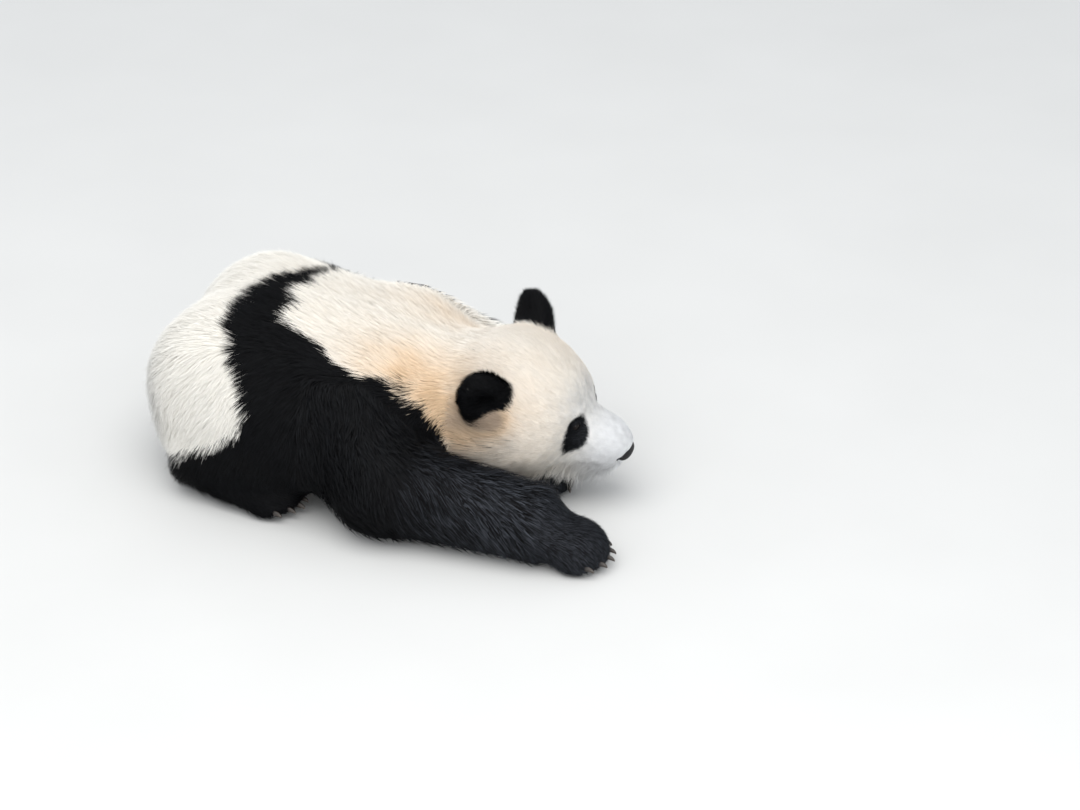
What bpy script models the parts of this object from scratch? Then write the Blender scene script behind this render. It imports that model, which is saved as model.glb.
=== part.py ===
"""Giant panda, life size, lying on its belly with its chin over its folded left forepaw and its right foreleg stretched out.

Metres, +Z up, head toward +X, the animal's right side toward -Y, floor at z = 0. The whole body is a few rounded masses
melted together out to the tips of the coat. It is then parted into its named nodes by thin cuts.
"""

import math

import bmesh
import bpy
import numpy as np
from mathutils import Euler, Matrix, Vector

# Fineness of the model
CUT_GAP = 0.0003
REMESH_SIZE = 0.011
BODY_TRIANGLES = 4000

# Trunk, out to the coat. Each mass rests on the floor, pressed flat by this much
PRESSED = 0.010
TRUNK_HALF_WIDTH = 0.232
RUMP_AT = -0.072
RUMP_TOP = 0.298
ABDOMEN_AT = 0.000
ABDOMEN_TOP = 0.290
CHEST_AT = 0.120
CHEST_TOP = 0.262
NECK_MIDDLE = 0.136

# Head: where its middle is, and how it turns
HEAD_AT = Vector((0.400, 0.000, 0.166))
HEAD_ROLL = math.radians(9.0)
HEAD_PITCH = math.radians(5.0)
HEAD_YAW = math.radians(-1.0)
HEAD_HALF_WIDTH = 0.135
MUZZLE_TIP = 0.180
MUZZLE_DROOP = math.radians(10.0)
EAR_THICKNESS_RADIUS = 0.028
EAR_WIDTH_RADIUS = 0.048
EAR_HEIGHT_RADIUS = 0.053
EAR_OUT = 0.117
EAR_UP = 0.079
EYE_RADIUS = 0.0108
EYE_DEPTH = 0.0130
EYE_OUT = 0.022
EYE_UP = -0.003
EYE_TURN = math.radians(33.0)
NOSE_AT = Vector((0.1655, 0.000, -0.0600))
NOSE_TURN = math.radians(50.0)

# Legs
FORELEG = {
    -1: {
        "shoulder": Vector((0.130, -0.136, 0.138)),
        "elbow": Vector((0.215, -0.215, 0.082)),
        "wrist": Vector((0.470, -0.215, 0.060)),
        "toes": Vector((0.615, -0.212, 0.040)),
    },
    1: {
        "shoulder": Vector((0.130, 0.136, 0.138)),
        "elbow": Vector((0.230, 0.215, 0.080)),
        "wrist": Vector((0.362, 0.096, 0.052)),
        "toes": Vector((0.440, -0.060, 0.034)),
    },
}
SHOULDER_RADIUS = 0.116
ELBOW_RADIUS = 0.085
WRIST_RADIUS = {-1: 0.068, 1: 0.060}
HIP = Vector((-0.120, 0.110, 0.165))
KNEE = Vector((0.020, 0.190, 0.120))
HEEL = Vector((-0.130, 0.205, 0.052))
HIND_TOES = Vector((0.075, 0.225, 0.030))
HIP_RADIUS = 0.125
KNEE_RADIUS = 0.080
HEEL_RADIUS = 0.050
FOREPAW_WIDTH = 0.118
HIND_FOOT_WIDTH = 0.108
CLAW_LENGTH = 0.027
CLAW_RADIUS = 0.0048
TOES = (-2, -1, 0, 1, 2)
SIDES = {-1: "right", 1: "left"}


def clear_scene():
    for obj in list(bpy.data.objects):
        bpy.data.objects.remove(obj, do_unlink=True)


# ---------------------------------------------------------------- rounded masses


class Ellipsoid:
    """A rounded mass with three radii, placed in a frame."""

    def __init__(self, centre, radii, turn=(0.0, 0.0, 0.0), frame=None):
        local = Matrix.LocRotScale(Vector(centre), Euler(turn), None)
        self.place = (frame or Matrix.Identity(4)) @ local
        self.radii = np.array(radii)

    def field(self, points):
        """Nearly the distance from the surface, negative inside."""
        axes = np.array(self.place.to_3x3())
        local = (points - np.array(self.place.translation)) @ axes
        reach = np.linalg.norm(local / self.radii, axis=1)
        slope = np.linalg.norm(local / self.radii**2, axis=1)
        return reach * (reach - 1.0) / np.maximum(slope, 1e-9)

    def add_shell(self, shape):
        stretch = Matrix.Diagonal((*self.radii, 1.0))
        bmesh.ops.create_uvsphere(shape, u_segments=24, v_segments=16, radius=1.0, matrix=self.place @ stretch)


class Taper:
    """A length of limb: a ball swept from one end to the other while its radius changes."""

    def __init__(self, start, end, start_radius, end_radius, frame=None):
        place = frame or Matrix.Identity(4)
        self.start = np.array(place @ Vector(start))
        self.end = np.array(place @ Vector(end))
        self.radii = (start_radius, end_radius)

    def field(self, points):
        along = self.end - self.start
        share = np.clip((points - self.start) @ along / (along @ along), 0.0, 1.0)
        nearest = self.start + share[:, None] * along
        radius = self.radii[0] + share * (self.radii[1] - self.radii[0])
        return np.linalg.norm(points - nearest, axis=1) - radius

    def add_shell(self, shape):
        for share in np.linspace(0.0, 1.0, 7):
            centre = Vector(self.start + share * (self.end - self.start))
            radius = self.radii[0] + share * (self.radii[1] - self.radii[0])
            place = Matrix.Translation(centre)
            bmesh.ops.create_uvsphere(shape, u_segments=20, v_segments=12, radius=radius, matrix=place)


def melt(first, second, width):
    """The lesser of two fields, with a fillet of about this width where they meet."""
    near = np.maximum(width - np.abs(first - second), 0.0) / width
    return np.minimum(first, second) - near * near * width / 4.0


def melt_all(masses, points, width):
    field = masses[0].field(points)
    for mass in masses[1:]:
        field = melt(field, mass.field(points), width)
    return field


# ---------------------------------------------------------------- the animal's masses


def head_frame():
    turn = Euler((HEAD_ROLL, HEAD_PITCH, HEAD_YAW)).to_matrix().to_4x4()
    return Matrix.Translation(HEAD_AT) @ turn


def resting(at, side, half_length, half_width, top):
    """A mass that lies on the floor, its underside pressed a little into it."""
    half_height = (top + PRESSED) / 2.0
    return Ellipsoid((at, side, half_height - PRESSED), (half_length, half_width, half_height))


def trunk_masses():
    masses = [
        resting(CHEST_AT, 0.0, 0.190, TRUNK_HALF_WIDTH - 0.022, CHEST_TOP),
        resting(ABDOMEN_AT, 0.0, 0.200, TRUNK_HALF_WIDTH, ABDOMEN_TOP),
        resting(RUMP_AT, 0.0, 0.163, TRUNK_HALF_WIDTH - 0.010, RUMP_TOP),
    ]
    for side in SIDES:
        masses.append(resting(RUMP_AT - 0.028, side * 0.105, 0.116, 0.120, 0.145))
    return masses


def neck_mass():
    return Taper((0.165, 0.0, NECK_MIDDLE), (0.345, 0.0, NECK_MIDDLE + 0.014), 0.121, 0.112)


def head_masses():
    frame = head_frame()
    masses = [
        Ellipsoid((-0.026, 0.0, 0.018), (0.106, 0.114, 0.098), frame=frame),
        Ellipsoid((0.016, 0.0, -0.012), (0.084, 0.110, 0.086), frame=frame),
        Ellipsoid((0.042, 0.0, 0.006), (0.046, 0.069, 0.050), frame=frame),
        Ellipsoid((MUZZLE_TIP - 0.061, 0.0, -0.042), (0.062, 0.052, 0.042), (0.0, MUZZLE_DROOP, 0.0), frame),
        Ellipsoid((0.085, 0.0, -0.080), (0.073, 0.050, 0.036), frame=frame),
    ]
    for side in SIDES:
        cheek_out = side * (HEAD_HALF_WIDTH - 0.072)
        masses.append(Ellipsoid((-0.016, cheek_out, -0.036), (0.090, 0.072, 0.078), frame=frame))
    return masses


def nose_frame():
    return head_frame() @ Matrix.LocRotScale(NOSE_AT, Euler((0.0, NOSE_TURN, 0.0)), None)


def nose_mass():
    return Ellipsoid((0.0, 0.0, 0.0), (0.017, 0.023, 0.0145), frame=nose_frame())


def ear_frame(side):
    lean = Euler((-side * math.radians(12.0), math.radians(4.0), side * math.radians(56.0)))
    local = Matrix.LocRotScale(Vector((-0.045, side * EAR_OUT, EAR_UP)), lean, None)
    return head_frame() @ local


def ear_mass(side):
    radii = (EAR_THICKNESS_RADIUS, EAR_WIDTH_RADIUS, EAR_HEIGHT_RADIUS)
    return Ellipsoid((0.0, 0.0, 0.0), radii, frame=ear_frame(side))


def ear_hollow(side):
    return Ellipsoid((0.038, 0.0, -0.016), (0.026, 0.029, 0.034), frame=ear_frame(side))


def limb_frame(wrist, toes):
    """Origin at the wrist or heel, +X along the foot on the floor, +Z up."""
    along = Vector((toes.x - wrist.x, toes.y - wrist.y, 0.0)).normalized()
    across = Vector((-along.y, along.x, 0.0))
    turn = Matrix((along, across, Vector((0.0, 0.0, 1.0)))).transposed().to_4x4()
    return Matrix.Translation(Vector((wrist.x, wrist.y, 0.0))) @ turn


def toe_places(length, width):
    """Where each toe sits along and across a foot."""
    spread = width / 5.0
    return [(length - 0.036 - 0.005 * toe * toe, toe * spread) for toe in TOES]


def foot_masses(wrist, toes, width, height):
    """A flat foot with five toes."""
    frame = limb_frame(wrist, toes)
    length = (toes - wrist).xy.length
    masses = [Ellipsoid((length * 0.46, 0.0, height * 0.46), (length * 0.50, width / 2.0, height / 2.0), frame=frame)]
    for forward, across in toe_places(length, width):
        masses.append(Ellipsoid((forward, across, 0.019), (0.034, 0.0145, 0.022), frame=frame))
    return masses


def foreleg_masses(side):
    leg = FORELEG[side]
    upper = Taper(leg["shoulder"], leg["elbow"], SHOULDER_RADIUS, ELBOW_RADIUS)
    lower = Taper(leg["elbow"], leg["wrist"], ELBOW_RADIUS - 0.004, WRIST_RADIUS[side])
    return upper, [lower] + foot_masses(leg["wrist"], leg["toes"], FOREPAW_WIDTH, 0.082)


def mirrored(point, side):
    return Vector((point.x, side * point.y, point.z))


def hind_leg_masses(side):
    hip, knee, heel, toes = (mirrored(point, side) for point in (HIP, KNEE, HEEL, HIND_TOES))
    upper = Taper(hip, knee, HIP_RADIUS, KNEE_RADIUS)
    lower = Taper(knee, heel, KNEE_RADIUS - 0.006, HEEL_RADIUS)
    return upper, [lower] + foot_masses(heel, toes, HIND_FOOT_WIDTH, 0.070)


def tail_mass():
    return Taper((RUMP_AT - 0.140, 0.0, 0.168), (RUMP_AT - 0.184, 0.0, 0.076), 0.036, 0.030)


def body_field(points):
    """The whole coated animal as one field."""
    field = melt_all(trunk_masses(), points, 0.080)
    field = melt(field, neck_mass().field(points), 0.070)
    head = melt_all(head_masses(), points, 0.034)
    head = melt(head, nose_mass().field(points), 0.008)
    for side in SIDES:
        ear = np.maximum(ear_mass(side).field(points), -ear_hollow(side).field(points))
        head = melt(head, ear, 0.012)
    field = melt(field, head, 0.050)
    field = melt(field, tail_mass().field(points), 0.020)
    for side in SIDES:
        for upper, lower in (foreleg_masses(side), hind_leg_masses(side)):
            field = melt(field, upper.field(points), 0.060)
            leg = melt(upper.field(points), lower[0].field(points), 0.040)
            for mass in lower[1:]:
                leg = melt(leg, mass.field(points), 0.014)
            field = melt(field, leg, 0.012)
    return field


def all_masses():
    masses = trunk_masses() + [neck_mass()] + head_masses() + [nose_mass(), tail_mass()]
    for side in SIDES:
        masses.append(ear_mass(side))
        for upper, lower in (foreleg_masses(side), hind_leg_masses(side)):
            masses += [upper] + lower
    return masses


# ---------------------------------------------------------------- mesh helpers


def new_object(name, mesh):
    obj = bpy.data.objects.new(name, mesh)
    bpy.context.scene.collection.objects.link(obj)
    return obj


def evaluated_mesh(obj):
    graph = bpy.context.evaluated_depsgraph_get()
    graph.update()
    return bpy.data.meshes.new_from_object(obj.evaluated_get(graph))


def bake_modifiers(obj):
    """Replaces an object's mesh by what its modifiers make of it."""
    baked = evaluated_mesh(obj)
    obj.modifiers.clear()
    obj.data = baked


def settle_on_field(mesh, rounds):
    """Moves the points onto the surface where the field is zero, evening them out between moves."""
    shape = bmesh.new()
    shape.from_mesh(mesh)
    step = 0.001
    for _ in range(rounds):
        bmesh.ops.smooth_vert(shape, verts=shape.verts, factor=0.5, use_axis_x=True, use_axis_y=True, use_axis_z=True)
        points = np.array([vertex.co for vertex in shape.verts])
        for _ in range(2):
            value = body_field(points)
            slope = np.stack([body_field(points + shift) - value for shift in np.eye(3) * step], axis=1) / step
            length = np.maximum(np.linalg.norm(slope, axis=1), 0.3)
            move = -(value / length**2)[:, None] * slope
            points += np.clip(move, -0.02, 0.02)
        for vertex, point in zip(shape.verts, points):
            vertex.co = point
    shape.to_mesh(mesh)
    shape.free()


def whole_body():
    shape = bmesh.new()
    for mass in all_masses():
        mass.add_shell(shape)
    mesh = bpy.data.meshes.new("whole")
    shape.to_mesh(mesh)
    shape.free()
    body = new_object("whole", mesh)
    remesh = body.modifiers.new("remesh", "REMESH")
    remesh.mode = "VOXEL"
    remesh.voxel_size = REMESH_SIZE
    bake_modifiers(body)
    settle_on_field(body.data, 4)
    fewer = body.modifiers.new("fewer", "DECIMATE")
    triangles = sum(len(face.vertices) - 2 for face in body.data.polygons)
    fewer.ratio = BODY_TRIANGLES / triangles
    fewer.use_collapse_triangulate = True
    bake_modifiers(body)
    return body


def tool_from(shape, name):
    """A cutter, left out of renders."""
    mesh = bpy.data.meshes.new(name)
    shape.to_mesh(mesh)
    shape.free()
    tool = new_object(name, mesh)
    tool.hide_render = True
    tool.display_type = "WIRE"
    return tool


def box_tool(low, high, frame=None, grow=0.0):
    """A box between two corners of a frame, made larger all round by grow."""
    low = Vector(low) - Vector((grow, grow, grow))
    high = Vector(high) + Vector((grow, grow, grow))
    stretch = Matrix.Diagonal((*(high - low), 1.0))
    shape = bmesh.new()
    place = (frame or Matrix.Identity(4)) @ Matrix.Translation((low + high) / 2.0) @ stretch
    bmesh.ops.create_cube(shape, size=1.0, matrix=place)
    return tool_from(shape, "cutter")


def combine(obj, tool, operation):
    """Cuts or keeps part of an object with a tool, and removes the tool."""
    cut = obj.modifiers.new("cut", "BOOLEAN")
    cut.operation = operation
    cut.object = tool
    cut.solver = "EXACT"
    cut.use_self = True
    bake_modifiers(obj)
    bpy.data.objects.remove(tool, do_unlink=True)


def part_off(body, name, make_tool):
    """Takes the part of the body inside a region away as a node, leaving a thin gap."""
    piece = new_object(name, body.data.copy())
    combine(piece, make_tool(grow=0.0), "INTERSECT")
    combine(body, make_tool(grow=CUT_GAP), "DIFFERENCE")
    return piece


# ---------------------------------------------------------------- regions of the nodes


def box_region(low, high, frame=None):
    return lambda grow: box_tool(low, high, frame, grow)


def eye_frame(side):
    """The eye's middle, a little under the coat, with +X the way it looks."""
    turn = Euler((0.0, math.radians(-8.0), side * EYE_TURN)).to_matrix().to_4x4()
    start = Matrix.Translation(Vector((0.062, side * EYE_OUT, EYE_UP)))
    frame = head_frame() @ start @ turn
    look = frame.to_3x3() @ Vector((1.0, 0.0, 0.0))
    steps = np.linspace(0.0, 0.12, 241)
    ray = np.array(frame.translation) + steps[:, None] * np.array(look)
    surface = steps[np.argmax(body_field(ray) > 0.0)]
    return frame @ Matrix.Translation(Vector((surface - EYE_DEPTH, 0.0, 0.0)))


def turned(frame, profile, segments, name):
    """A closed body turned about a frame's X axis, from (place along X, radius) pairs that end on the axis."""
    shape = bmesh.new()
    rings = []
    for along, radius in profile:
        count = segments if radius > 0.0 else 1
        ring = []
        for corner in range(count):
            angle = math.tau * corner / segments
            point = Vector((along, radius * math.cos(angle), radius * math.sin(angle)))
            ring.append(shape.verts.new(frame @ point))
        rings.append(ring)
    for near, far in zip(rings, rings[1:]):
        for corner in range(segments):
            following = (corner + 1) % segments
            quad = [near[corner % len(near)], near[following % len(near)]]
            quad += [far[following % len(far)], far[corner % len(far)]]
            shape.faces.new(list(dict.fromkeys(quad)))
    bmesh.ops.recalc_face_normals(shape, faces=shape.faces)
    return tool_from(shape, name)


def arc_profile(radius, first, last, steps):
    """Part of a circle, by angles from the looking direction."""
    angles = [first + (last - first) * step / steps for step in range(steps + 1)]
    return [(radius * math.cos(angle), radius * math.sin(angle)) for angle in angles]


def seat_eye(body, side, name):
    """An eyeball, in a socket that opens outward between the lids."""
    frame = eye_frame(side)
    socket = EYE_RADIUS + CUT_GAP
    lid = math.radians(52.0)
    profile = [(-socket, 0.0)] + arc_profile(socket, math.radians(156.0), lid, 5)
    mouth = 0.030
    profile += [(profile[-1][0] + mouth, profile[-1][1] + mouth * 0.55), (profile[-1][0] + mouth, 0.0)]
    combine(body, turned(frame, profile, 12, "socket"), "DIFFERENCE")
    ball_profile = [(-EYE_RADIUS, 0.0)] + arc_profile(EYE_RADIUS, math.radians(156.0), math.radians(24.0), 6)
    ball = turned(frame, ball_profile + [(EYE_RADIUS, 0.0)], 12, name)
    ball.hide_render = False
    ball.display_type = "TEXTURED"
    return ball


# ---------------------------------------------------------------- claws


def claw_mesh(name):
    """A claw along +X that bends down to its point."""
    shape = bmesh.new()
    bend = math.radians(55.0)
    sides = 5
    rings = []
    for share in (0.0, 0.45, 0.80):
        angle = bend * share
        centre = Vector((math.sin(angle), 0.0, math.cos(angle) - 1.0)) * (CLAW_LENGTH / bend)
        radius = CLAW_RADIUS * (1.0 - share) ** 0.6
        lift = Vector((math.sin(angle), 0.0, math.cos(angle)))
        ring = []
        for corner in range(sides):
            turn = math.tau * corner / sides
            across = Vector((0.0, math.cos(turn) * radius * 0.8, 0.0))
            ring.append(shape.verts.new(centre + across + lift * math.sin(turn) * radius))
        rings.append(ring)
    tip = Vector((math.sin(bend), 0.0, math.cos(bend) - 1.0)) * (CLAW_LENGTH / bend)
    point = shape.verts.new(tip)
    for near, far in zip(rings, rings[1:]):
        for corner in range(sides):
            following = (corner + 1) % sides
            shape.faces.new((near[corner], near[following], far[following], far[corner]))
    for corner in range(sides):
        shape.faces.new((rings[-1][corner], rings[-1][(corner + 1) % sides], point))
    shape.faces.new(rings[0])
    bmesh.ops.recalc_face_normals(shape, faces=shape.faces)
    mesh = bpy.data.meshes.new(name)
    shape.to_mesh(mesh)
    shape.free()
    return mesh


def claws_of(foot, word, start, toes, width):
    """Five claws, each cut where it comes out of its toe."""
    frame = limb_frame(start, toes)
    length = (toes - start).xy.length
    for number, (forward, across) in enumerate(toe_places(length, width), 1):
        name = word + "_claw_" + str(number)
        claw = new_object(name, claw_mesh(name))
        root = Matrix.Translation(Vector((forward + 0.016, across, 0.0245)))
        claw.data.transform(frame @ root)
        cut = claw.modifiers.new("cut", "BOOLEAN")
        cut.operation = "DIFFERENCE"
        cut.object = foot
        cut.solver = "EXACT"
        bake_modifiers(claw)
        claw.data.transform(Matrix.Translation(frame.to_3x3() @ Vector((CUT_GAP, 0.0, 0.0))))


def add_claws(nodes):
    for side, word in SIDES.items():
        leg = FORELEG[side]
        claws_of(nodes[word + "_forepaw"], word + "_fore", leg["wrist"], leg["toes"], FOREPAW_WIDTH)
        heel, toes = (mirrored(point, side) for point in (HEEL, HIND_TOES))
        claws_of(nodes[word + "_hind_foot"], word + "_hind", heel, toes, HIND_FOOT_WIDTH)


def part_face(body):
    """Eyes sit in their sockets; ears and nose come off the head by flat cuts."""
    pieces = {}
    for side, word in SIDES.items():
        pieces[word + "_eye"] = seat_eye(body, side, word + "_eye")
        region = box_region((-0.036, -0.060, -0.022), (0.045, 0.060, 0.090), ear_frame(side))
        pieces[word + "_ear"] = part_off(body, word + "_ear", region)
    tip = box_region((0.000, -0.026, -0.017), (0.030, 0.026, 0.017), nose_frame())
    pieces["nose"] = part_off(body, "nose", tip)
    return pieces


def part_forelegs(body):
    pieces = {}
    right = FORELEG[-1]
    inner = -0.128
    split = right["elbow"].x + 0.045
    paw = right["wrist"].x + 0.012
    pieces["right_forepaw"] = part_off(body, "right_forepaw", box_region((paw, -0.4, -0.1), (0.8, inner, 0.2)))
    pieces["right_forearm"] = part_off(body, "right_forearm", box_region((split, -0.4, -0.1), (paw, inner, 0.152)))
    left = FORELEG[1]
    frame = limb_frame(left["elbow"], left["toes"])
    reach = (left["wrist"] - left["elbow"]).xy.length
    toes = (left["toes"] - left["elbow"]).xy.length + 0.012
    low = box_region((reach - 0.012, -0.100, -0.1), (toes, 0.130, 0.072), frame)
    pieces["left_forepaw"] = part_off(body, "left_forepaw", low)
    high = box_region((0.030, -0.060, -0.1), (reach - 0.012, 0.150, 0.122), frame)
    pieces["left_forearm"] = part_off(body, "left_forearm", high)
    for side, word in SIDES.items():
        near, far = sorted((side * 0.165, side * 0.4))
        region = box_region((0.080, near, -0.1), (0.34, far, 0.24))
        pieces[word + "_upper_arm"] = part_off(body, word + "_upper_arm", region)
    return pieces


def part_hind_legs(body):
    pieces = {}
    for side, word in SIDES.items():
        near, far = sorted((side * 0.150, side * 0.4))
        split = HEEL.z + 0.016
        foot = box_region((HEEL.x + 0.010, near, -0.1), (0.15, far, split))
        pieces[word + "_hind_foot"] = part_off(body, word + "_hind_foot", foot)
        thigh = box_region((-0.215, near, split), (0.079, far, 0.26))
        pieces[word + "_thigh"] = part_off(body, word + "_thigh", thigh)
    return pieces


def part_trunk(body):
    pieces = {}
    tail = box_region((-0.5, -0.060, 0.030), (RUMP_AT - 0.170, 0.060, 0.22))
    pieces["tail"] = part_off(body, "tail", tail)
    head = box_region((-0.093, -0.3, -0.3), (0.4, 0.3, 0.3), head_frame())
    pieces["head"] = part_off(body, "head", head)
    pieces["neck"] = part_off(body, "neck", box_region((0.225, -0.4, -0.1), (0.6, 0.4, 0.5)))
    pieces["chest"] = part_off(body, "chest", box_region((0.060, -0.4, -0.1), (0.225, 0.4, 0.5)))
    pieces["rump"] = part_off(body, "rump", box_region((-0.6, -0.4, -0.1), (-0.105, 0.4, 0.5)))
    body.name = "abdomen"
    pieces["abdomen"] = body
    return pieces


# ---------------------------------------------------------------- finish


WHITE_COAT = (0.80, 0.74, 0.64)
BLACK_COAT = (0.016, 0.016, 0.019)
DARK_SKIN = (0.020, 0.018, 0.018)
EYE_BROWN = (0.030, 0.016, 0.010)
HORN = (0.110, 0.085, 0.065)
BLACK_PARTS = ("ear", "upper_arm", "forearm", "forepaw", "thigh", "hind_foot")


def finish_of(name):
    """Colour and roughness of a node."""
    if name.endswith("_eye"):
        return EYE_BROWN, 0.10
    if "_claw_" in name:
        return HORN, 0.45
    if name == "nose":
        return DARK_SKIN, 0.40
    if name.endswith(BLACK_PARTS):
        return BLACK_COAT, 0.85
    return WHITE_COAT, 0.90


def paint(obj):
    colour, roughness = finish_of(obj.name)
    material = bpy.data.materials.new(obj.name)
    material.use_nodes = True
    surface = material.node_tree.nodes["Principled BSDF"]
    surface.inputs["Base Color"].default_value = (*colour, 1.0)
    surface.inputs["Roughness"].default_value = roughness
    surface.inputs["Metallic"].default_value = 0.0
    obj.data.materials.clear()
    obj.data.materials.append(material)
    obj.data.shade_smooth()
    obj.data.set_sharp_from_angle(angle=math.radians(40.0))


def build():
    clear_scene()
    body = whole_body()
    combine(body, box_tool((-1.0, -1.0, -0.3), (1.0, 1.0, 0.0)), "DIFFERENCE")
    nodes = {}
    nodes.update(part_face(body))
    nodes.update(part_forelegs(body))
    nodes.update(part_hind_legs(body))
    nodes.update(part_trunk(body))
    add_claws(nodes)
    for obj in bpy.data.objects:
        paint(obj)


build()
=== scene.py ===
"""Giant panda, life size, lying with its chin over a folded paw: skin, eyes, nose, claws and coat over the solids.

Metres, +Z up, head toward +X, the animal's right side toward -Y, floor at z = 0. The coat's tips reach the solids'
surface; the skin lies inside them by the depth of the coat.
"""

import math

import bpy
import numpy as np
from mathutils import Euler, Matrix, Vector
from mathutils.bvhtree import BVHTree
from mathutils.kdtree import KDTree


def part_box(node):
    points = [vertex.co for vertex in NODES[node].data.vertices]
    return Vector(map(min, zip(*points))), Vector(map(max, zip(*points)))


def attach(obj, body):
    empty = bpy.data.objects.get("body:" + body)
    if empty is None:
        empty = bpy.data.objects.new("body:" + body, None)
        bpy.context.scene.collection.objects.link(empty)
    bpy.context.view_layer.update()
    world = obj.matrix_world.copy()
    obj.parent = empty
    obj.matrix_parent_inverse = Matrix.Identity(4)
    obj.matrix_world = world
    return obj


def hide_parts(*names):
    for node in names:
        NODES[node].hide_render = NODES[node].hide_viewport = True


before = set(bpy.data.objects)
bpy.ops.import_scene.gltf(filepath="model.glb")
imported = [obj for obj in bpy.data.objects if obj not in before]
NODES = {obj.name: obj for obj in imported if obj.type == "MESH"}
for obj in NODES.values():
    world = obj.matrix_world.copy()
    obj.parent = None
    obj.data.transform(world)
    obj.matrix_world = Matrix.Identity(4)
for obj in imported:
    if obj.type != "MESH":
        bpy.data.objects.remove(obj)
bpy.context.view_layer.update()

SIDES = {-1: "right", 1: "left"}
FLESH = ["head", "neck", "chest", "abdomen", "rump", "tail"]
for word in SIDES.values():
    FLESH += [word + "_" + part for part in ("ear", "upper_arm", "forearm", "forepaw", "thigh", "hind_foot")]

# Head: its own frame has +X to the nose, +Y to the animal's left and +Z to the crown
HEAD = Matrix.Translation((0.400, 0.000, 0.166)) @ Euler(
    (math.radians(9.0), math.radians(5.0), math.radians(-1.0))
).to_matrix().to_4x4()
HEAD_TURN = np.array(HEAD.to_3x3())
HEAD_AT = np.array(HEAD.translation)
NOSE_TIP = np.array((0.176, 0.0, -0.056))
NOSE_PAD_AT = np.array((0.1644, 0.0, -0.0570))
NOSE_PAD_SIZE = np.array((0.0128, 0.0250, 0.0148))
NOSE_PAD_LEAN = np.array(Euler((0.0, math.radians(50.0), 0.0)).to_matrix())
JAW_AT = np.array((0.085, 0.0, -0.080))
JAW_SIZE = np.array((0.073, 0.050, 0.036))
MOUTH_HEIGHT = -0.0790
MOUTH_FOLD = 0.0009
LIP_SWELL = 0.0008
LIP_SPLIT = 0.0025
BRIDGE_DIP = 0.0010
LIP_EDGE = ((0.158, 0.0, -0.076), (0.020, 0.036, 0.011))
# Brows and the dips below the eyes: how far the skin moves out, the right one's centre, and its radii
FACE_BUMPS = (
    (0.0045, (0.089, -0.031, 0.020), (0.020, 0.018, 0.010)),
    (-0.0020, (0.098, -0.050, -0.040), (0.024, 0.020, 0.020)),
)

# Eyes, their hollows and lids; the lids' angles are measured at the eye's centre
EYE_RADIUS = 0.0104
EYE_TURN = math.radians(33.0)
EYE_LIFT = 0.06
EYE_HOLLOW = 0.034
HOLLOW_DEPTH = 0.0030
CORNEA_BULGE = 0.035
LID_SHELL = EYE_RADIUS + 0.0011
LID_SWELL = 0.0007
BEHIND_BALL = EYE_RADIUS - 0.0035
LID_WIDTH = math.radians(41.0)
LID_HEIGHT = math.radians(25.0)
UPPER_LID, LOWER_LID = LID_HEIGHT * 1.12, LID_HEIGHT * 0.88
LID_RIM = (math.radians(1.0), math.radians(5.0))
LID_DARK = (math.radians(9.0), math.radians(3.0))
LID_BLEND = (math.radians(60.0), math.radians(34.0))
LID_END = math.radians(85.0)

EAR_AT = np.array((-0.045, 0.117, 0.079))
EAR_RADII = np.array((0.028, 0.048, 0.053))
EAR_SIZE = 0.05
EAR_TURN = {
    side: np.array(Euler((-side * math.radians(12.0), math.radians(4.0), side * math.radians(56.0))).to_matrix())
    for side in SIDES
}
EAR_BASE = 1.16
JAW_RIM = 1.12

# Nostrils on a nose pad of radius 1: depth, place across and up, and size; the second is the comma's tail
NOSTRIL = (
    (0.42, (0.40, -0.10), (0.17, 0.22)),
    (0.26, (0.70, -0.26), (0.20, 0.10)),
)

CLAW_RINGS, CLAW_SIDES = 12, 14
CLAW_RADIUS = 0.0046
CLAW_BEND = 0.0042
CLAW_IN_TOE = 0.010

# Legs
SHOULDER = {side: np.array((0.130, side * 0.136, 0.138)) for side in SIDES}
ELBOW = {-1: np.array((0.215, -0.215, 0.082)), 1: np.array((0.230, 0.215, 0.080))}
WRIST = {-1: np.array((0.470, -0.215, 0.060)), 1: np.array((0.362, 0.096, 0.052))}
TOES = {-1: np.array((0.615, -0.212, 0.030)), 1: np.array((0.440, -0.060, 0.024))}
HEEL = {side: np.array((-0.130, side * 0.205, 0.052)) for side in SIDES}
HIND_TOES = {side: np.array((0.075, side * 0.225, 0.030)) for side in SIDES}

# Black markings: the band over the back and its strip left of the spine, the limbs, and the patches round the eyes
BACK_TOP = 0.31
BAND_FRONT = -0.006
BAND_REAR = -0.023
SPINE_SIDE = 0.10
FAR_SIDE = 0.152
EDGE_WOBBLE = ((0.005, 0.050, 3), (0.0025, 0.016, 4))
WHITE_ABOVE = {-1: 0.185, 1: 0.150}
CHEST_DARK = 0.13
DARK_LIMIT = 0.03
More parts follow.
